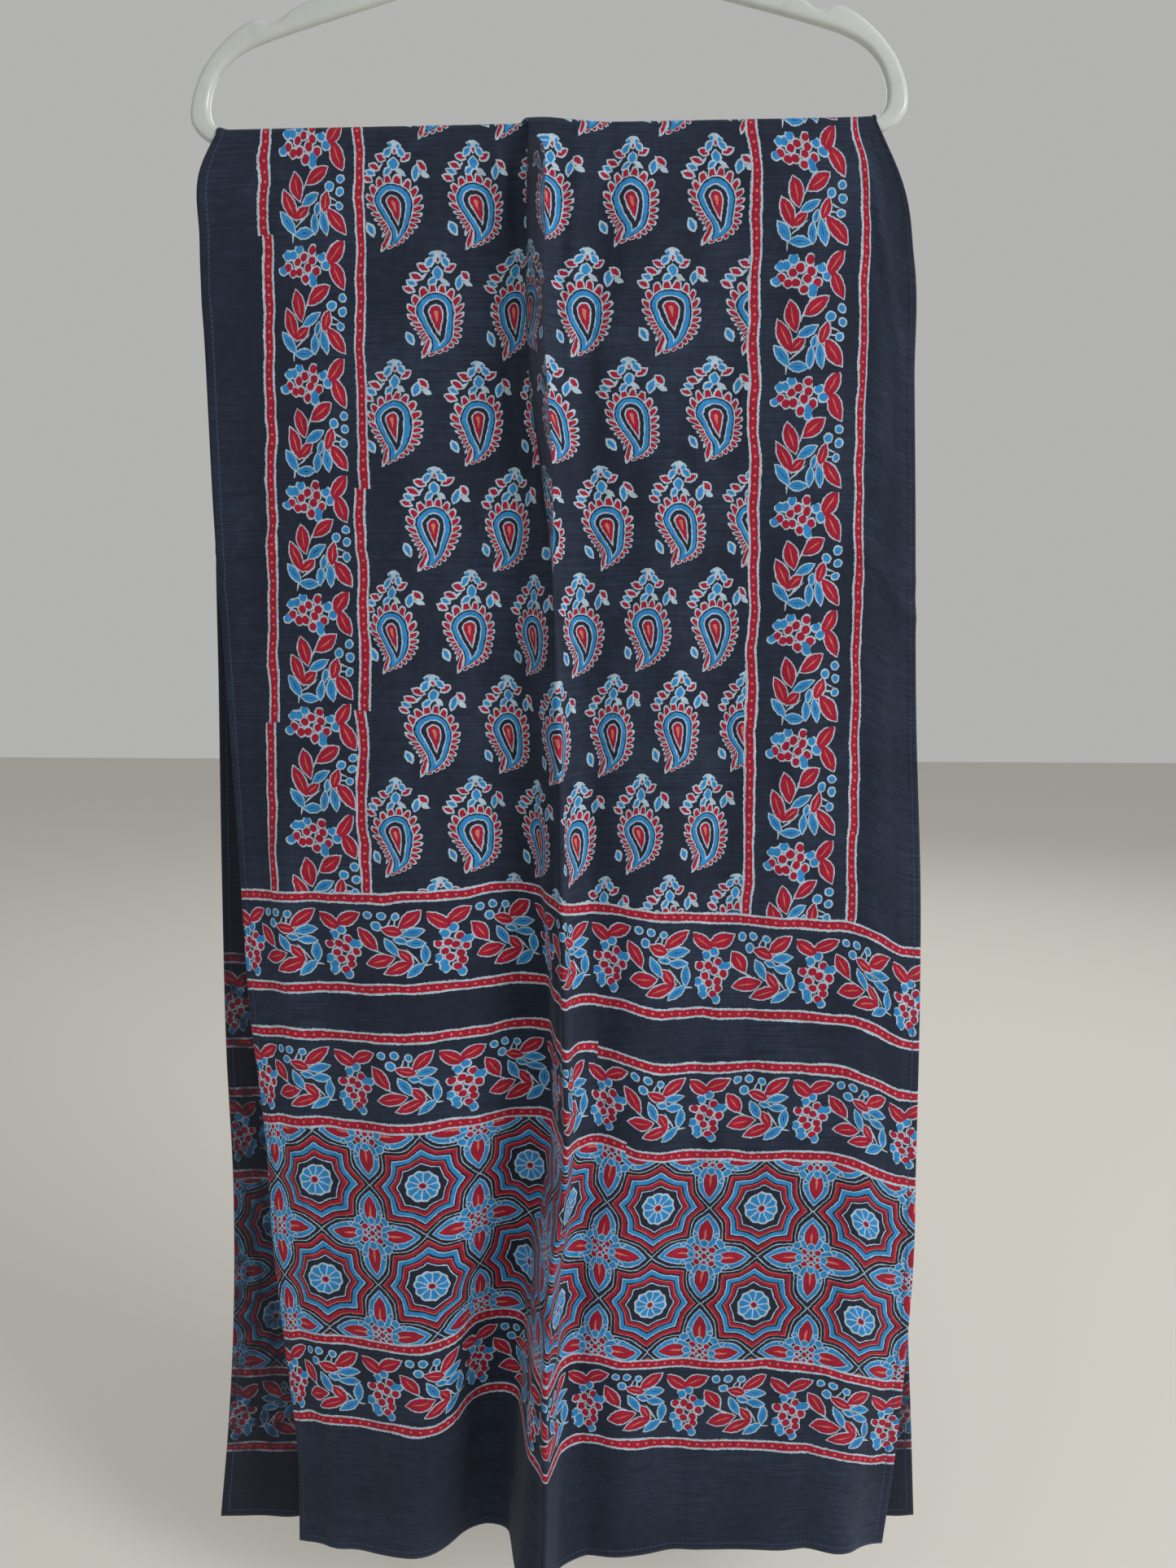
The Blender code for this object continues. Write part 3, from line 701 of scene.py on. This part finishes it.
def paisleyColour(add, colour, u, v, rough):
    cell = add("Math", (v, -paisley["firstDown"]), "ADD")
    cell = add("Math", (cell, paisley["down"]), "DIVIDE")
    # Rows interlock: each edge between two rows waves by a cosine, down under a drop and up over a crown
    edgeRow = add("Math", (cell,), "ROUND")
    edgeSign = add("Math", (edgeRow, 2.0), "FLOORED_MODULO")
    edgeSign = add("Math", (edgeSign, 2.0, -1.0), "MULTIPLY_ADD")
    fromFirst = add("Math", (u, paisley["firstAcross"]), "SUBTRACT")
    waved = add("Math", (fromFirst, math.tau / paisley["across"]), "MULTIPLY")
    waved = add("Math", (waved,), "COSINE")
    waved = add("Math", (waved, edgeSign), "MULTIPLY")
    row = add("Math", (waved, -paisley["interlock"] / paisley["down"], cell), "MULTIPLY_ADD")
    row = add("Math", (row,), "FLOOR")
    fall = add("Math", (cell, row), "SUBTRACT")
    odd = add("Math", (row, 2.0), "FLOORED_MODULO")
    shifted = add("Math", (odd, -paisley["across"] / 2, fromFirst), "MULTIPLY_ADD")
    x = add("Math", (shifted, paisley["across"] / 2, -paisley["across"] / 2), "WRAP")
    # Only whole drops start a row: what is left of the first one is moved out of the cell
    early = add("Math", (shifted, -paisley["across"] / 2), "LESS_THAN")
    wide, tall = paisley["size"]
    x = add("Math", (x, wide), "DIVIDE")
    y = add("Math", (fall, -paisley["down"] / tall, paisley["top"] / tall), "MULTIPLY_ADD")
    y = add("Math", (early, paisley["outOfCell"], y), "MULTIPLY_ADD")
    point = add("CombineXYZ", (x, y))
    edge = add("Math", (rough, 1.0, paisley["crownEdge"]), "MULTIPLY_ADD")
    # The drop leans right as it falls, and its tip curls back to the left
    fallen = add("Math", (paisley["leansBelow"], y), "SUBTRACT")
    fallen = add("Math", (fallen, 0.0), "MAXIMUM")
    curled = add("Math", (paisley["curlsBelow"], y), "SUBTRACT")
    curled = add("Math", (curled, 0.0), "MAXIMUM")
    curled = add("Math", (curled, curled), "MULTIPLY")
    side = add("Math", (fallen, -paisley["lean"], x), "MULTIPLY_ADD")
    side = add("Math", (curled, paisley["curl"], side), "MULTIPLY_ADD")
    # Its measure is the distance from the shoulder above it, and |x| plus a share of the fall below
    above = add("Math", (y, paisley["shoulder"]), "SUBTRACT")
    above = add("Math", (above, 0.0), "MAXIMUM")
    above = add("CombineXYZ", (side, above))
    radius = add("VectorMath", (above,), "LENGTH", output=1)
    taper = add("Math", (paisley["shoulder"], y), "SUBTRACT")
    taper = add("Math", (taper, 0.0), "MAXIMUM")
    taper = add("Math", (taper, paisley["drop"]), "DIVIDE")
    taper = add("Math", (taper, paisley["taperPower"]), "POWER")
    radius = add("Math", (taper, paisley["dropHalf"], radius), "MULTIPLY_ADD")
    foot = add("Math", (paisley["footBelow"], y), "SUBTRACT")
    foot = add("Math", (foot, 0.0), "MAXIMUM")
    radius = add("Math", (foot, paisley["footSlope"], radius), "MULTIPLY_ADD")
    ring = add("Math", (radius, paisley["dropHalf"] + paisley["rimGap"]), "SUBTRACT")
    # Teeth: a count of them about the drop, each 1 less a power of the way to the next gap
    centred = add("Math", (y, 1.0), "ADD")
    turn = add("Math", (centred, x), "ARCTAN2")
    turns = add("Math", (turn, paisley["teeth"] / math.tau), "MULTIPLY")
    gap = add("Math", (turns, 0.5), "PINGPONG")
    gap = add("Math", (gap, -2.0, 1.0), "MULTIPLY_ADD")
    blunt = add("Math", (gap, paisley["toothPower"]), "POWER")
    height, base = paisley["toothHeight"], paisley["toothBase"]
    tooth = add("Math", (blunt, -height, height + base), "MULTIPLY_ADD")
    redTooth = add("Math", (blunt, -paisley["redToothShort"] * height, height), "MULTIPLY_ADD")
    fringe = add("Math", (redTooth, paisley["rimGap"]), "ADD")
    colour = paint(add, colour, ring, tooth, inks["resist"])
    colour = paint(add, colour, ring, fringe, inks["salmon"])
    colour = paint(add, colour, ring, redTooth, inks["crimson"])
    for stop, name in paisley["rings"]:
        colour = paint(add, colour, ring, stop, inks[name])
    loop = leafField(add, point, [paisley["loop"]])
    colour = outlined(add, colour, loop, inks["blue"], paisley["loopEdge"])
    whites = leafField(add, point, paisley["resistLeaves"])
    colour = paint(add, colour, whites, 0.0, inks["resist"])
    reds = leafField(add, point, paisley["redLeaves"])
    colour = outlined(add, colour, reds, inks["crimson"], edge)
    blues = leafField(add, point, paisley["blueLeaves"])
    colour = outlined(add, colour, blues, inks["blue"], edge)
    beads = discField(add, point, paisley["beads"])
    return paint(add, colour, beads, 0.0, inks["blue"])


# The lattice: eight-cusped rings round rosettes on a square grid, crosses between them. Ring colours are
# by radius, in millimetres, up to each stop.
lattice = {
    "across": 68.6,
    "down": 70.0,
    "firstAcross": 44.0,
    "firstRow": 680.0,
    "cusps": 8,
    "valley": 0.05,
    "valleyDeepens": 0.005,
    "cuspPower": 1.7,
    "petals": 10,
    "rosette": 10.0,
    "rosetteRim": 0.7,
    "scallop": 1.8,
    "parting": 0.42,
    "eye": [(2.9, "resist"), (2.1, "crimson"), (0.8, "ground")],
    "rings": [
        (34.4, "resist"), (33.6, "ground"), (31.0, "salmon"), (30.4, "crimson"), (27.6, "ground"),
        (26.1, "resist"), (25.3, "blue"), (22.1, "ground"), (20.7, "salmon"), (20.1, "crimson"),
        (17.6, "ground"), (16.4, "resist"), (15.6, "ground"),
    ],
    "petal": (15.9, 14.8, 8.3),
    "petalStops": [(0.0, "resist"), (-0.75, "blue"), (-3.5, "resist"), (-4.1, "ground"), (-4.5, "crimson")],
    "petalShade": 1.6,
    "rib": (13.6, 0.0, 5.6, 0.7, 0),
    "curls": [(9.7, 8.8, 2.6), (14.4, 6.8, 1.9)],
    "innerBlues": [(8.4, 0.0, 2.7)],
    "innerReds": [(4.6, 4.6, 2.5), (4.4, 0.0, 1.8), (0.0, 0.0, 2.3)],
}


def latticeColour(add, colour, u, row, rough):
    halfPitch = lattice["across"] / 2
    x = add("Math", (u, lattice["firstAcross"]), "SUBTRACT")
    x = add("Math", (x, halfPitch, -halfPitch), "WRAP")
    y = add("Math", (row, lattice["firstRow"]), "SUBTRACT")
    y = add("Math", (y, lattice["across"] / lattice["down"]), "MULTIPLY")
    y = add("Math", (y, halfPitch, -halfPitch), "WRAP")
    point = add("CombineXYZ", (x, y))
    radius = add("VectorMath", (point,), "LENGTH", output=1)
    turn = add("Math", (y, x), "ARCTAN2")
    # The rings' radius swells to each cusp, from a hollow between cusps that deepens with the radius
    turns = add("Math", (turn, lattice["cusps"] / math.tau, 0.5), "MULTIPLY_ADD")
    cusp = add("Math", (turns, 0.5), "PINGPONG")
    cusp = add("Math", (cusp, 2.0), "MULTIPLY")
    cusp = add("Math", (cusp, lattice["cuspPower"]), "POWER")
    short = add("Math", (1.0, cusp), "SUBTRACT")
    deep = add("Math", (radius, lattice["valleyDeepens"], lattice["valley"]), "MULTIPLY_ADD")
    swell = add("Math", (short, deep), "MULTIPLY")
    swell = add("Math", (1.0, swell), "SUBTRACT")
    ring = add("Math", (radius, swell), "DIVIDE")
    for stop, name in lattice["rings"]:
        colour = paint(add, colour, ring, stop, inks[name])
    # The rosette: petals parted by resist lines, a resist rim and a red eye
    petalTurn = add("Math", (turn, lattice["petals"] / math.tau, 0.25), "MULTIPLY_ADD")
    petalTurn = add("Math", (petalTurn, 0.5), "PINGPONG")
    scallop = add("Math", (petalTurn, lattice["scallop"], -0.5), "MULTIPLY_ADD")
    rim = add("Math", (radius, scallop), "SUBTRACT")
    colour = paint(add, colour, rim, lattice["rosette"] + lattice["rosetteRim"], inks["resist"])
    parting = add("Math", (petalTurn, radius), "MULTIPLY")
    parting = add("Math", (parting, -math.tau / lattice["petals"], 0.0), "MULTIPLY_ADD")
    bladeFill = add("Math", (rim, lattice["rosette"] - 0.2), "SUBTRACT")
    bladeFill = add("Math", (bladeFill, lattice["parting"]), "ADD")
    petalFill = add("Math", (parting, lattice["parting"]), "ADD")
    petalFill = add("Math", (petalFill, bladeFill), "MAXIMUM")
    colour = paint(add, colour, petalFill, 0.0, inks["blue"])
    for stop, name in lattice["eye"]:
        colour = paint(add, colour, radius, stop, inks[name])
    # The crosses: the corner of the cell is a cross's middle, and one petal serves for all four
    corner = add("VectorMath", (point,), "ABSOLUTE")
    corner = add("VectorMath", ((halfPitch, halfPitch, 0), corner), "SUBTRACT")
    split = add("SeparateXYZ", (corner,)).node
    major = add("Math", (split.outputs[0], split.outputs[1]), "MAXIMUM")
    minor = add("Math", (split.outputs[0], split.outputs[1]), "MINIMUM")
    folded = add("CombineXYZ", (major, minor))
    middle, petalLength, petalHalf = lattice["petal"]
    petal = add("VectorMath", (folded, (middle, 0, 0)), "SUBTRACT")
    petal = add("VectorMath", (petal, (petalLength, petalHalf, 1)), "DIVIDE")
    petal = add("SeparateXYZ", (petal,)).node
    along = add("Math", (petal.outputs[0], petal.outputs[0]), "MULTIPLY")
    beside = add("Math", (petal.outputs[1],), "ABSOLUTE")
    petal = add("Math", (along, beside), "ADD")
    petal = add("Math", (petal, petalHalf, -petalHalf), "MULTIPLY_ADD")
    colour = paint(add, colour, petal, lattice["petalShade"], inks["ground"])
    for stop, name in lattice["petalStops"]:
        colour = paint(add, colour, petal, stop, inks[name])
    rib = leafField(add, folded, [lattice["rib"]])
    colour = paint(add, colour, rib, 0.0, inks["salmon"])
    curls = discField(add, folded, lattice["curls"])
    colour = outlined(add, colour, curls, inks["blue"], -0.65)
    for discs, name in (("innerReds", "crimson"), ("innerBlues", "blue")):
        dots = discField(add, folded, lattice[discs])
        colour = outlined(add, colour, dots, inks[name], -0.6)
    return colour


# The dotted lines: the nearest line across or down, the red between its two resist edges, and the dots
def lineColour(add, colour, u, v, endU, row, rough):
    nearest = {}
    for name, places, measure, along in (("across", lineRows, row, endU), ("downward", lineColumns, u, v)):
        for i, place in enumerate(places):
            for shift, start, end in joints[name].get(i, []):
                halfRun = (end - start) / 2
                within = add("Math", (along, start + halfRun, halfRun), "COMPARE")
                place = add("Math", (within, shift, place), "MULTIPLY_ADD")
            away = add("Math", (measure, place), "SUBTRACT")
            away = add("Math", (away,), "ABSOLUTE")
            nearest[name] = add("Math", (nearest[name], away), "MINIMUM") if i else away
    across, downward = nearest["across"], nearest["downward"]
    inEnd = add("Math", (row, lineRows[0]), "GREATER_THAN")
    downward = add("Math", (inEnd, 100.0, downward), "MULTIPLY_ADD")
    for away, along in ((downward, v), (across, endU)):
        ragged = add("Math", (rough, 0.9, away), "MULTIPLY_ADD")
        colour = paint(add, colour, ragged, lines["resistHalf"] + 0.45, inks["resist"])
        colour = paint(add, colour, ragged, lines["redHalf"] + 0.55, inks["salmon"])
        colour = paint(add, colour, ragged, lines["redHalf"] + 0.45, inks["crimson"])
        dot = add("Math", (along, lines["dotPitch"] / 2, -lines["dotPitch"] / 2), "WRAP")
        dot = add("CombineXYZ", (dot, away))
        dot = add("VectorMath", (dot,), "LENGTH", output=1)
        colour = paint(add, colour, dot, lines["dotRadius"], inks["salmon"])
    return colour


# The cotton's surface, in millimetres where they are sizes: noise scales are in turns per millimetre
cotton = {
    "driftScale": 0.035, "drift": 4.0, "fuzzScale": 0.42, "fuzz": 1.0, "roughScale": 0.9,
    "streakScale": (0.03, 0.9, 1.0), "patchScale": 0.012, "speckleScale": 1.1, "speckle": 0.16,
    "faded": (0.26, 0.5, 0.0, 0.8), "unevenScale": 0.16, "uneven": (0.25, 0.75, 0.82, 1.16),
    "throughScale": 0.11, "through": (0.35, 0.65, 0.88, 0.5),
    "stitchIn": 4.9, "stitchPitch": 1.6, "stitchGap": 0.5, "stitchHalf": 0.38,
    "weaveScale": 0.225, "cloudScale": 0.05, "cloud": 5.0, "bump": 0.35, "bumpDepth": 0.00035,
    "roughness": 0.82, "specular": 0.22, "sheen": 0.12, "sheenRoughness": 0.45,
    "sheenTint": (0.75, 0.8, 0.9, 1.0),
}


# Noise over the flat cloth
def flatNoise(add, place, scale, detail, output=0):
    return add("TexNoise", {"Vector": place, "Scale": scale, "Detail": detail}, output=output,
               noise_dimensions="2D")


# Printed cotton: the ground's threads and fading, the motif, the lines, the wrong side and the weave
def printedCotton(name, kind):
    material, add = newMaterial(name)
    inMm = {}
    for layer in ("flat", "end", "field"):
        inMm[layer] = add("VectorMath", (add("UVMap", uv_map=layer), (1000.0, 1000.0, 1.0)), "MULTIPLY")
    flatPlain = inMm["flat"]
    # The wander of a block print: a slow drift of about 1 mm and a ragged edge of about 0.4 mm
    drift = flatNoise(add, flatPlain, cotton["driftScale"], 1.0, 1)
    drift = add("VectorMath", (drift, (0.5, 0.5, 0.5)), "SUBTRACT")
    fuzz = flatNoise(add, flatPlain, cotton["fuzzScale"], 2.0, 1)
    fuzz = add("VectorMath", (fuzz, (0.5, 0.5, 0.5)), "SUBTRACT")
    wander = add("VectorMath", (drift, (cotton["drift"], cotton["drift"], 0.0)), "MULTIPLY")
    wander = add("VectorMath", (fuzz, (cotton["fuzz"], cotton["fuzz"], 0.0), wander), "MULTIPLY_ADD")
    places = {}
    for layer, plain in inMm.items():
        places[layer] = add("SeparateXYZ", (add("VectorMath", (plain, wander), "ADD"),)).node.outputs[:2]
    (u, v), (endU, row), (fieldU, fieldV) = places["flat"], places["end"], places["field"]
    rough = flatNoise(add, flatPlain, cotton["roughScale"], 2.0)
    # The indigo ground: long pale streaks along the weft, and slow patches where the dye took less
    streak = flatNoise(add, add("VectorMath", (flatPlain, cotton["streakScale"]), "MULTIPLY"), 1.0, 3.0)
    patch = flatNoise(add, flatPlain, cotton["patchScale"], 3.0)
    speckle = flatNoise(add, flatPlain, cotton["speckleScale"], 2.0)
    faded = add("Math", (streak, patch), "MULTIPLY")
    faded = add("Math", (speckle, cotton["speckle"], faded), "MULTIPLY_ADD")
    faded = add("MapRange", (faded, *cotton["faded"]))
    colour = mixed(add, faded, inks["ground"], inks["groundFaded"])
    if kind == "field":
        colour = paisleyColour(add, colour, fieldU, fieldV, rough)
    if kind == "border":
        # Both borders run down the cloth with the vine's top to the right
        right = add("Math", (u, sideVine["parting"]), "GREATER_THAN")
        stretches = [vine["tile"] / pitch for pitch in sideVine["pitch"]]
        middleU, startV, stretch = [add("Math", (right, there - here, here), "MULTIPLY_ADD")
                                    for here, there in (sideVine["middle"], sideVine["first"], stretches)]
        t = add("Math", (u, middleU), "SUBTRACT")
        s = add("Math", (add("Math", (v, startV), "SUBTRACT"), stretch), "MULTIPLY")
        colour = vineColour(add, colour, s, t, rough)
    if kind == "band":
        middleRow = bandCentres[0]
        for i, parting in enumerate(bandVine["partings"]):
            past = add("Math", (row, parting), "GREATER_THAN")
            middleRow = add("Math", (past, bandCentres[i + 1] - bandCentres[i], middleRow), "MULTIPLY_ADD")
        t = add("Math", (middleRow, row), "SUBTRACT")
        s = add("Math", (endU, bandVine["first"]), "SUBTRACT")
        colour = vineColour(add, colour, s, t, rough)
    if kind == "lattice":
        colour = latticeColour(add, colour, endU, row, rough)
    colour = lineColour(add, colour, u, v, endU, row, rough)
    # Dye that took unevenly: each colour darkens and lightens by about a tenth
    uneven = add("MapRange", (flatNoise(add, flatPlain, cotton["unevenScale"], 4.0), *cotton["uneven"]))
    colour = mixed(add, 1.0, colour, uneven, blend_type="MULTIPLY")
    # The wrong side: the print shows through in patches, browner and darker
    wrong = add("Attribute", output=2, attribute_name="wrongSide")
    through = add("MapRange", (flatNoise(add, flatPlain, cotton["throughScale"], 5.0), *cotton["through"]))
    colour = mixed(add, add("Math", (wrong, through), "MULTIPLY"), colour, inks["wrongGround"])
    # The hem's stitches: short paler dashes 5 mm in from the edge
    hem = add("Attribute", output=2, attribute_name="hemDistance")
    plainU, plainV = add("SeparateXYZ", (flatPlain,)).node.outputs[:2]
    fromLine = add("Math", (hem, cotton["stitchIn"]), "SUBTRACT")
    fromLine = add("Math", (fromLine,), "ABSOLUTE")
    stitchAt = add("Math", (plainU, plainV), "ADD")
    stitchAt = add("Math", (stitchAt, cotton["stitchPitch"]), "PINGPONG")
    gap = add("Math", (stitchAt, cotton["stitchGap"]), "LESS_THAN")
    stitch = add("Math", (gap, 1.0, fromLine), "MULTIPLY_ADD")
    colour = paint(add, colour, stitch, cotton["stitchHalf"], inks["thread"])
    # The weave is drawn at 1.4 mm, about three times the real threads, so that it survives in a picture
    threads = [add("TexWave", {"Vector": flatPlain, "Scale": cotton["weaveScale"], "Distortion": 0.6,
                               "Detail": 1.0}, output=1, bands_direction=way) for way in "XY"]
    cloudy = flatNoise(add, flatPlain, cotton["cloudScale"], 4.0)
    height = add("Math", (cloudy, cotton["cloud"], add("Math", threads, "ADD")), "MULTIPLY_ADD")
    bump = add("Bump", {"Strength": cotton["bump"], "Distance": cotton["bumpDepth"], "Height": height})
    return finished(material, add, {
        "Base Color": colour, "Roughness": cotton["roughness"], "Specular IOR Level": cotton["specular"],
        "Sheen Weight": cotton["sheen"], "Sheen Roughness": cotton["sheenRoughness"],
        "Sheen Tint": cotton["sheenTint"], "Normal": bump,
    })


for name, kind in (("paisleyCotton", "field"), ("borderCotton", "border"), ("bandCotton", "band"),
                   ("latticeCotton", "lattice"), ("plainCotton", "plain")):
    clothMesh.materials.append(printedCotton(name, kind))
clothPiece = addPiece("printedCloth", clothMesh, "cloth")
print("cloth print")

# The hanger

# The solid's own outline: half of it as (x, z) from the bottom middle outwards, in millimetres, the outside
# first, and then the opening's edge. Its widest point comes to half the width.
hanger = {
    "width": 445.0,
    "thickness": 7.0,
    "round": 3.2,
    "barZ": -175.0,
    "hookInside": 19.0,
    "hookOutside": 27.0,
    "hookTip": 23.0,
    "neckHalf": 6.5,
    "neckZ": -54.0,
    "outerX": (0, 120, 203, 213, 220, 222.5, 220, 212, 196, 183, 176, 171, 165, 158, 152, 138),
    "outerUp": (-5, -5, -5, -1, 6, 13, 27, 44, 60.5, 68.5, 70, 67, 67.5, 73, 76.5, 81.5),
    "innerX": (0, 120, 201, 206.5, 209.5, 209, 204, 192, 170, 85, 12),
    "innerUp": (5, 5, 5, 7.5, 14, 24, 37, 49, 58, 81, 101),
}


# Points on an arc about (x, z), by its radius and its angles in degrees
def arcPoints(x, z, radius, start, end, steps):
    angles = np.radians(np.linspace(start, end, steps + 1))
    return np.stack([x + radius * np.cos(angles), z + radius * np.sin(angles)], axis=1)


# Cuts each corner of a closed outline at a quarter and three quarters of its sides, twice over
def softened(outline, rounds=2):
    for _ in range(rounds):
        after = np.roll(outline, -1, axis=0)
        outline = np.stack([0.75 * outline + 0.25 * after, 0.25 * outline + 0.75 * after], 1).reshape(-1, 2)
    return outline


# The mirrored outline of a half, with what stands between its two ends
def bothHalves(halfX, halfUp, between):
    halfX = np.array(halfX, float)
    right = np.stack([halfX, hanger["barZ"] + np.array(halfUp, float)], axis=1)
    left = (right * (-1, 1))[::-1]
    return softened(np.concatenate([right, between, left[:-1]]))


def hangerOutlines():
    hookCentre = -hanger["hookInside"]
    hook = np.concatenate([
        [[hanger["neckHalf"], hanger["neckZ"]]],
        arcPoints(0, hookCentre, hanger["hookOutside"], -66, 195, 22),
        arcPoints(0, hookCentre, hanger["hookTip"], 203, 203, 0),
        arcPoints(0, hookCentre, hanger["hookInside"], 195, -90, 22),
        arcPoints(0, -43, 5, 120, 180, 3),
        [[-hanger["neckHalf"], hanger["neckZ"]]],
    ])
    outer = bothHalves(hanger["outerX"], hanger["outerUp"], hook)
    inner = bothHalves(hanger["innerX"], hanger["innerUp"], np.empty((0, 2)))
    return outer, inner


# A flat filled curve with a rounded edge all round, turned upright and made a mesh
def hangerMesh():
    curve = bpy.data.curves.new("hangerOutline", "CURVE")
    curve.dimensions = "2D"
    curve.fill_mode = "BOTH"
    curve.extrude = (hanger["thickness"] / 2 - hanger["round"]) * mm
    curve.bevel_depth = hanger["round"] * mm
    curve.bevel_resolution = 4
    curve.offset = -hanger["round"] * mm
    for outline in hangerOutlines():
        spline = curve.splines.new("POLY")
        spline.points.add(len(outline) - 1)
        flat = np.zeros((len(outline), 4))
        flat[:, :2] = outline * mm
        flat[:, 3] = 1.0
        spline.points.foreach_set("co", flat.ravel())
        spline.use_cyclic_u = True
    carrier = bpy.data.objects.new("hangerOutline", curve)
    bpy.context.scene.collection.objects.link(carrier)
    bpy.context.view_layer.update()
    mesh = bpy.data.meshes.new_from_object(carrier.evaluated_get(bpy.context.evaluated_depsgraph_get()))
    bpy.data.objects.remove(carrier)
    mesh.transform(mathutils.Matrix.Rotation(math.pi / 2, 4, "X"))
    form = bmesh.new()
    form.from_mesh(mesh)
    bmesh.ops.remove_doubles(form, verts=form.verts, dist=0.00002)
    bmesh.ops.recalc_face_normals(form, faces=form.faces)
    form.to_mesh(mesh)
    form.free()
    mesh.shade_smooth()
    return mesh


plastic = {
    "pale": "#c8cdc9", "dull": "#b3bab5", "grime": "#9fa39a", "cloudScale": 18.0, "grimeScale": 70.0,
    "grimed": (0.55, 0.8, 0.0, 0.35), "wornScale": 45.0, "worn": (0.3, 0.75, 0.14, 0.34),
    "flowScale": (14.0, 60.0, 240.0), "fineScale": 900.0, "fine": 0.12, "bump": 0.25, "bumpDepth": 0.0006,
    "inside": 0.25, "insideReach": 0.004,
}


# Moulded plastic, pale mint grey: a slick skin with soft flow waves, fine scratches and slight handling
# wear that dulls it in patches, and enough light inside it that its edges look waxy
def mouldedPlastic():
    material, add = newMaterial("mouldedPlastic")
    place = add("TexCoord", output=3)
    cloudy = add("TexNoise", {"Vector": place, "Scale": plastic["cloudScale"], "Detail": 4.0})
    colour = mixed(add, cloudy, linear(plastic["dull"]), linear(plastic["pale"]))
    grime = add("TexNoise", {"Vector": place, "Scale": plastic["grimeScale"], "Detail": 6.0})
    colour = mixed(add, add("MapRange", (grime, *plastic["grimed"])), colour, linear(plastic["grime"]))
    worn = add("TexNoise", {"Vector": place, "Scale": plastic["wornScale"], "Detail": 5.0})
    stretched = add("VectorMath", (place, plastic["flowScale"]), "MULTIPLY")
    flow = add("TexNoise", {"Vector": stretched, "Scale": 1.0, "Detail": 2.0})
    fine = add("TexNoise", {"Vector": place, "Scale": plastic["fineScale"], "Detail": 2.0})
    height = add("Math", (fine, plastic["fine"], flow), "MULTIPLY_ADD")
    bump = add("Bump", {"Strength": plastic["bump"], "Distance": plastic["bumpDepth"], "Height": height})
    return finished(material, add, {
        "Base Color": colour, "Roughness": add("MapRange", (worn, *plastic["worn"])), "IOR": 1.46,
        "Subsurface Weight": plastic["inside"], "Subsurface Scale": plastic["insideReach"], "Normal": bump,
    })


hangerForm = hangerMesh()
hangerForm.materials.append(mouldedPlastic())
addPiece("mouldedHanger", hangerForm, "hanger")
print("hanger", len(hangerForm.polygons), "faces")

# Floor, light and camera

studio = {
    "floorZ": -1.2,
    "floorHalf": 6.0,
    "floorColour": "#d9d5cd",
    "skyColour": "#f3f3f1",
    "skyStrength": 0.5,
    "lights": [
        {"name": "softKey", "place": (2.3, -1.55, 0.4), "width": 1.1, "power": 56.0},
        {"name": "softFill", "place": (-1.7, -2.2, 0.2), "width": 1.8, "power": 4.5},
        {"name": "softBack", "place": (0.6, 2.2, 1.0), "width": 1.6, "power": 20.0},
    ],
    "aim": (0.0, 0.0, -0.6),
}


def pointAt(thing, place, target):
    thing.location = place
    towards = mathutils.Vector(target) - mathutils.Vector(place)
    thing.rotation_euler = towards.to_track_quat("-Z", "Y").to_euler()


def studioFloor():
    far = studio["floorHalf"]
    corners = [(x, y, studio["floorZ"]) for x, y in ((-far, -far), (far, -far), (far, far), (-far, far))]
    mesh = bpy.data.meshes.new("paleFloor")
    mesh.from_pydata(corners, [], [(0, 1, 2, 3)])
    material = bpy.data.materials.new("paleFloor")
    material.use_nodes = True
    shader = material.node_tree.nodes["Principled BSDF"]
    shader.inputs["Base Color"].default_value = linear(studio["floorColour"])
    shader.inputs["Roughness"].default_value = 0.7
    mesh.materials.append(material)
    floor = bpy.data.objects.new("paleFloor", mesh)
    bpy.context.scene.collection.objects.link(floor)


studioFloor()
world = bpy.data.worlds.new("paleRoom")
world.use_nodes = True
sky = world.node_tree.nodes["Background"]
sky.inputs["Color"].default_value = linear(studio["skyColour"])
sky.inputs["Strength"].default_value = studio["skyStrength"]
bpy.context.scene.world = world
for lamp in studio["lights"]:
    light = bpy.data.lights.new(lamp["name"], "AREA")
    light.size = lamp["width"]
    light.energy = lamp["power"]
    lightObject = bpy.data.objects.new(lamp["name"], light)
    lightObject.visible_camera = False
    bpy.context.scene.collection.objects.link(lightObject)
    pointAt(lightObject, lamp["place"], studio["aim"])

# The photograph's camera: 1447 pixels of focal length over a frame of 1445 by 1927
view = {"place": (0.0628, -0.7718, -0.4834), "tiltDown": 7.19, "turnLeft": 2.66, "focal": 1447,
        "long": 1927, "sensor": 36.0}
camera = bpy.data.cameras.new("photoView")
camera.sensor_fit = "AUTO"
camera.sensor_width = view["sensor"]
camera.lens = view["focal"] / view["long"] * view["sensor"]
camera.clip_start = 0.01
cameraObject = bpy.data.objects.new("photoView", camera)
cameraObject.location = view["place"]
cameraObject.rotation_euler = (math.radians(90 - view["tiltDown"]), 0.0, math.radians(view["turnLeft"]))
bpy.context.scene.collection.objects.link(cameraObject)
bpy.context.scene.camera = cameraObject
# The plain transform keeps the inks as deep as they are dyed
bpy.context.scene.view_settings.view_transform = "Standard"
print("floor, light and camera")
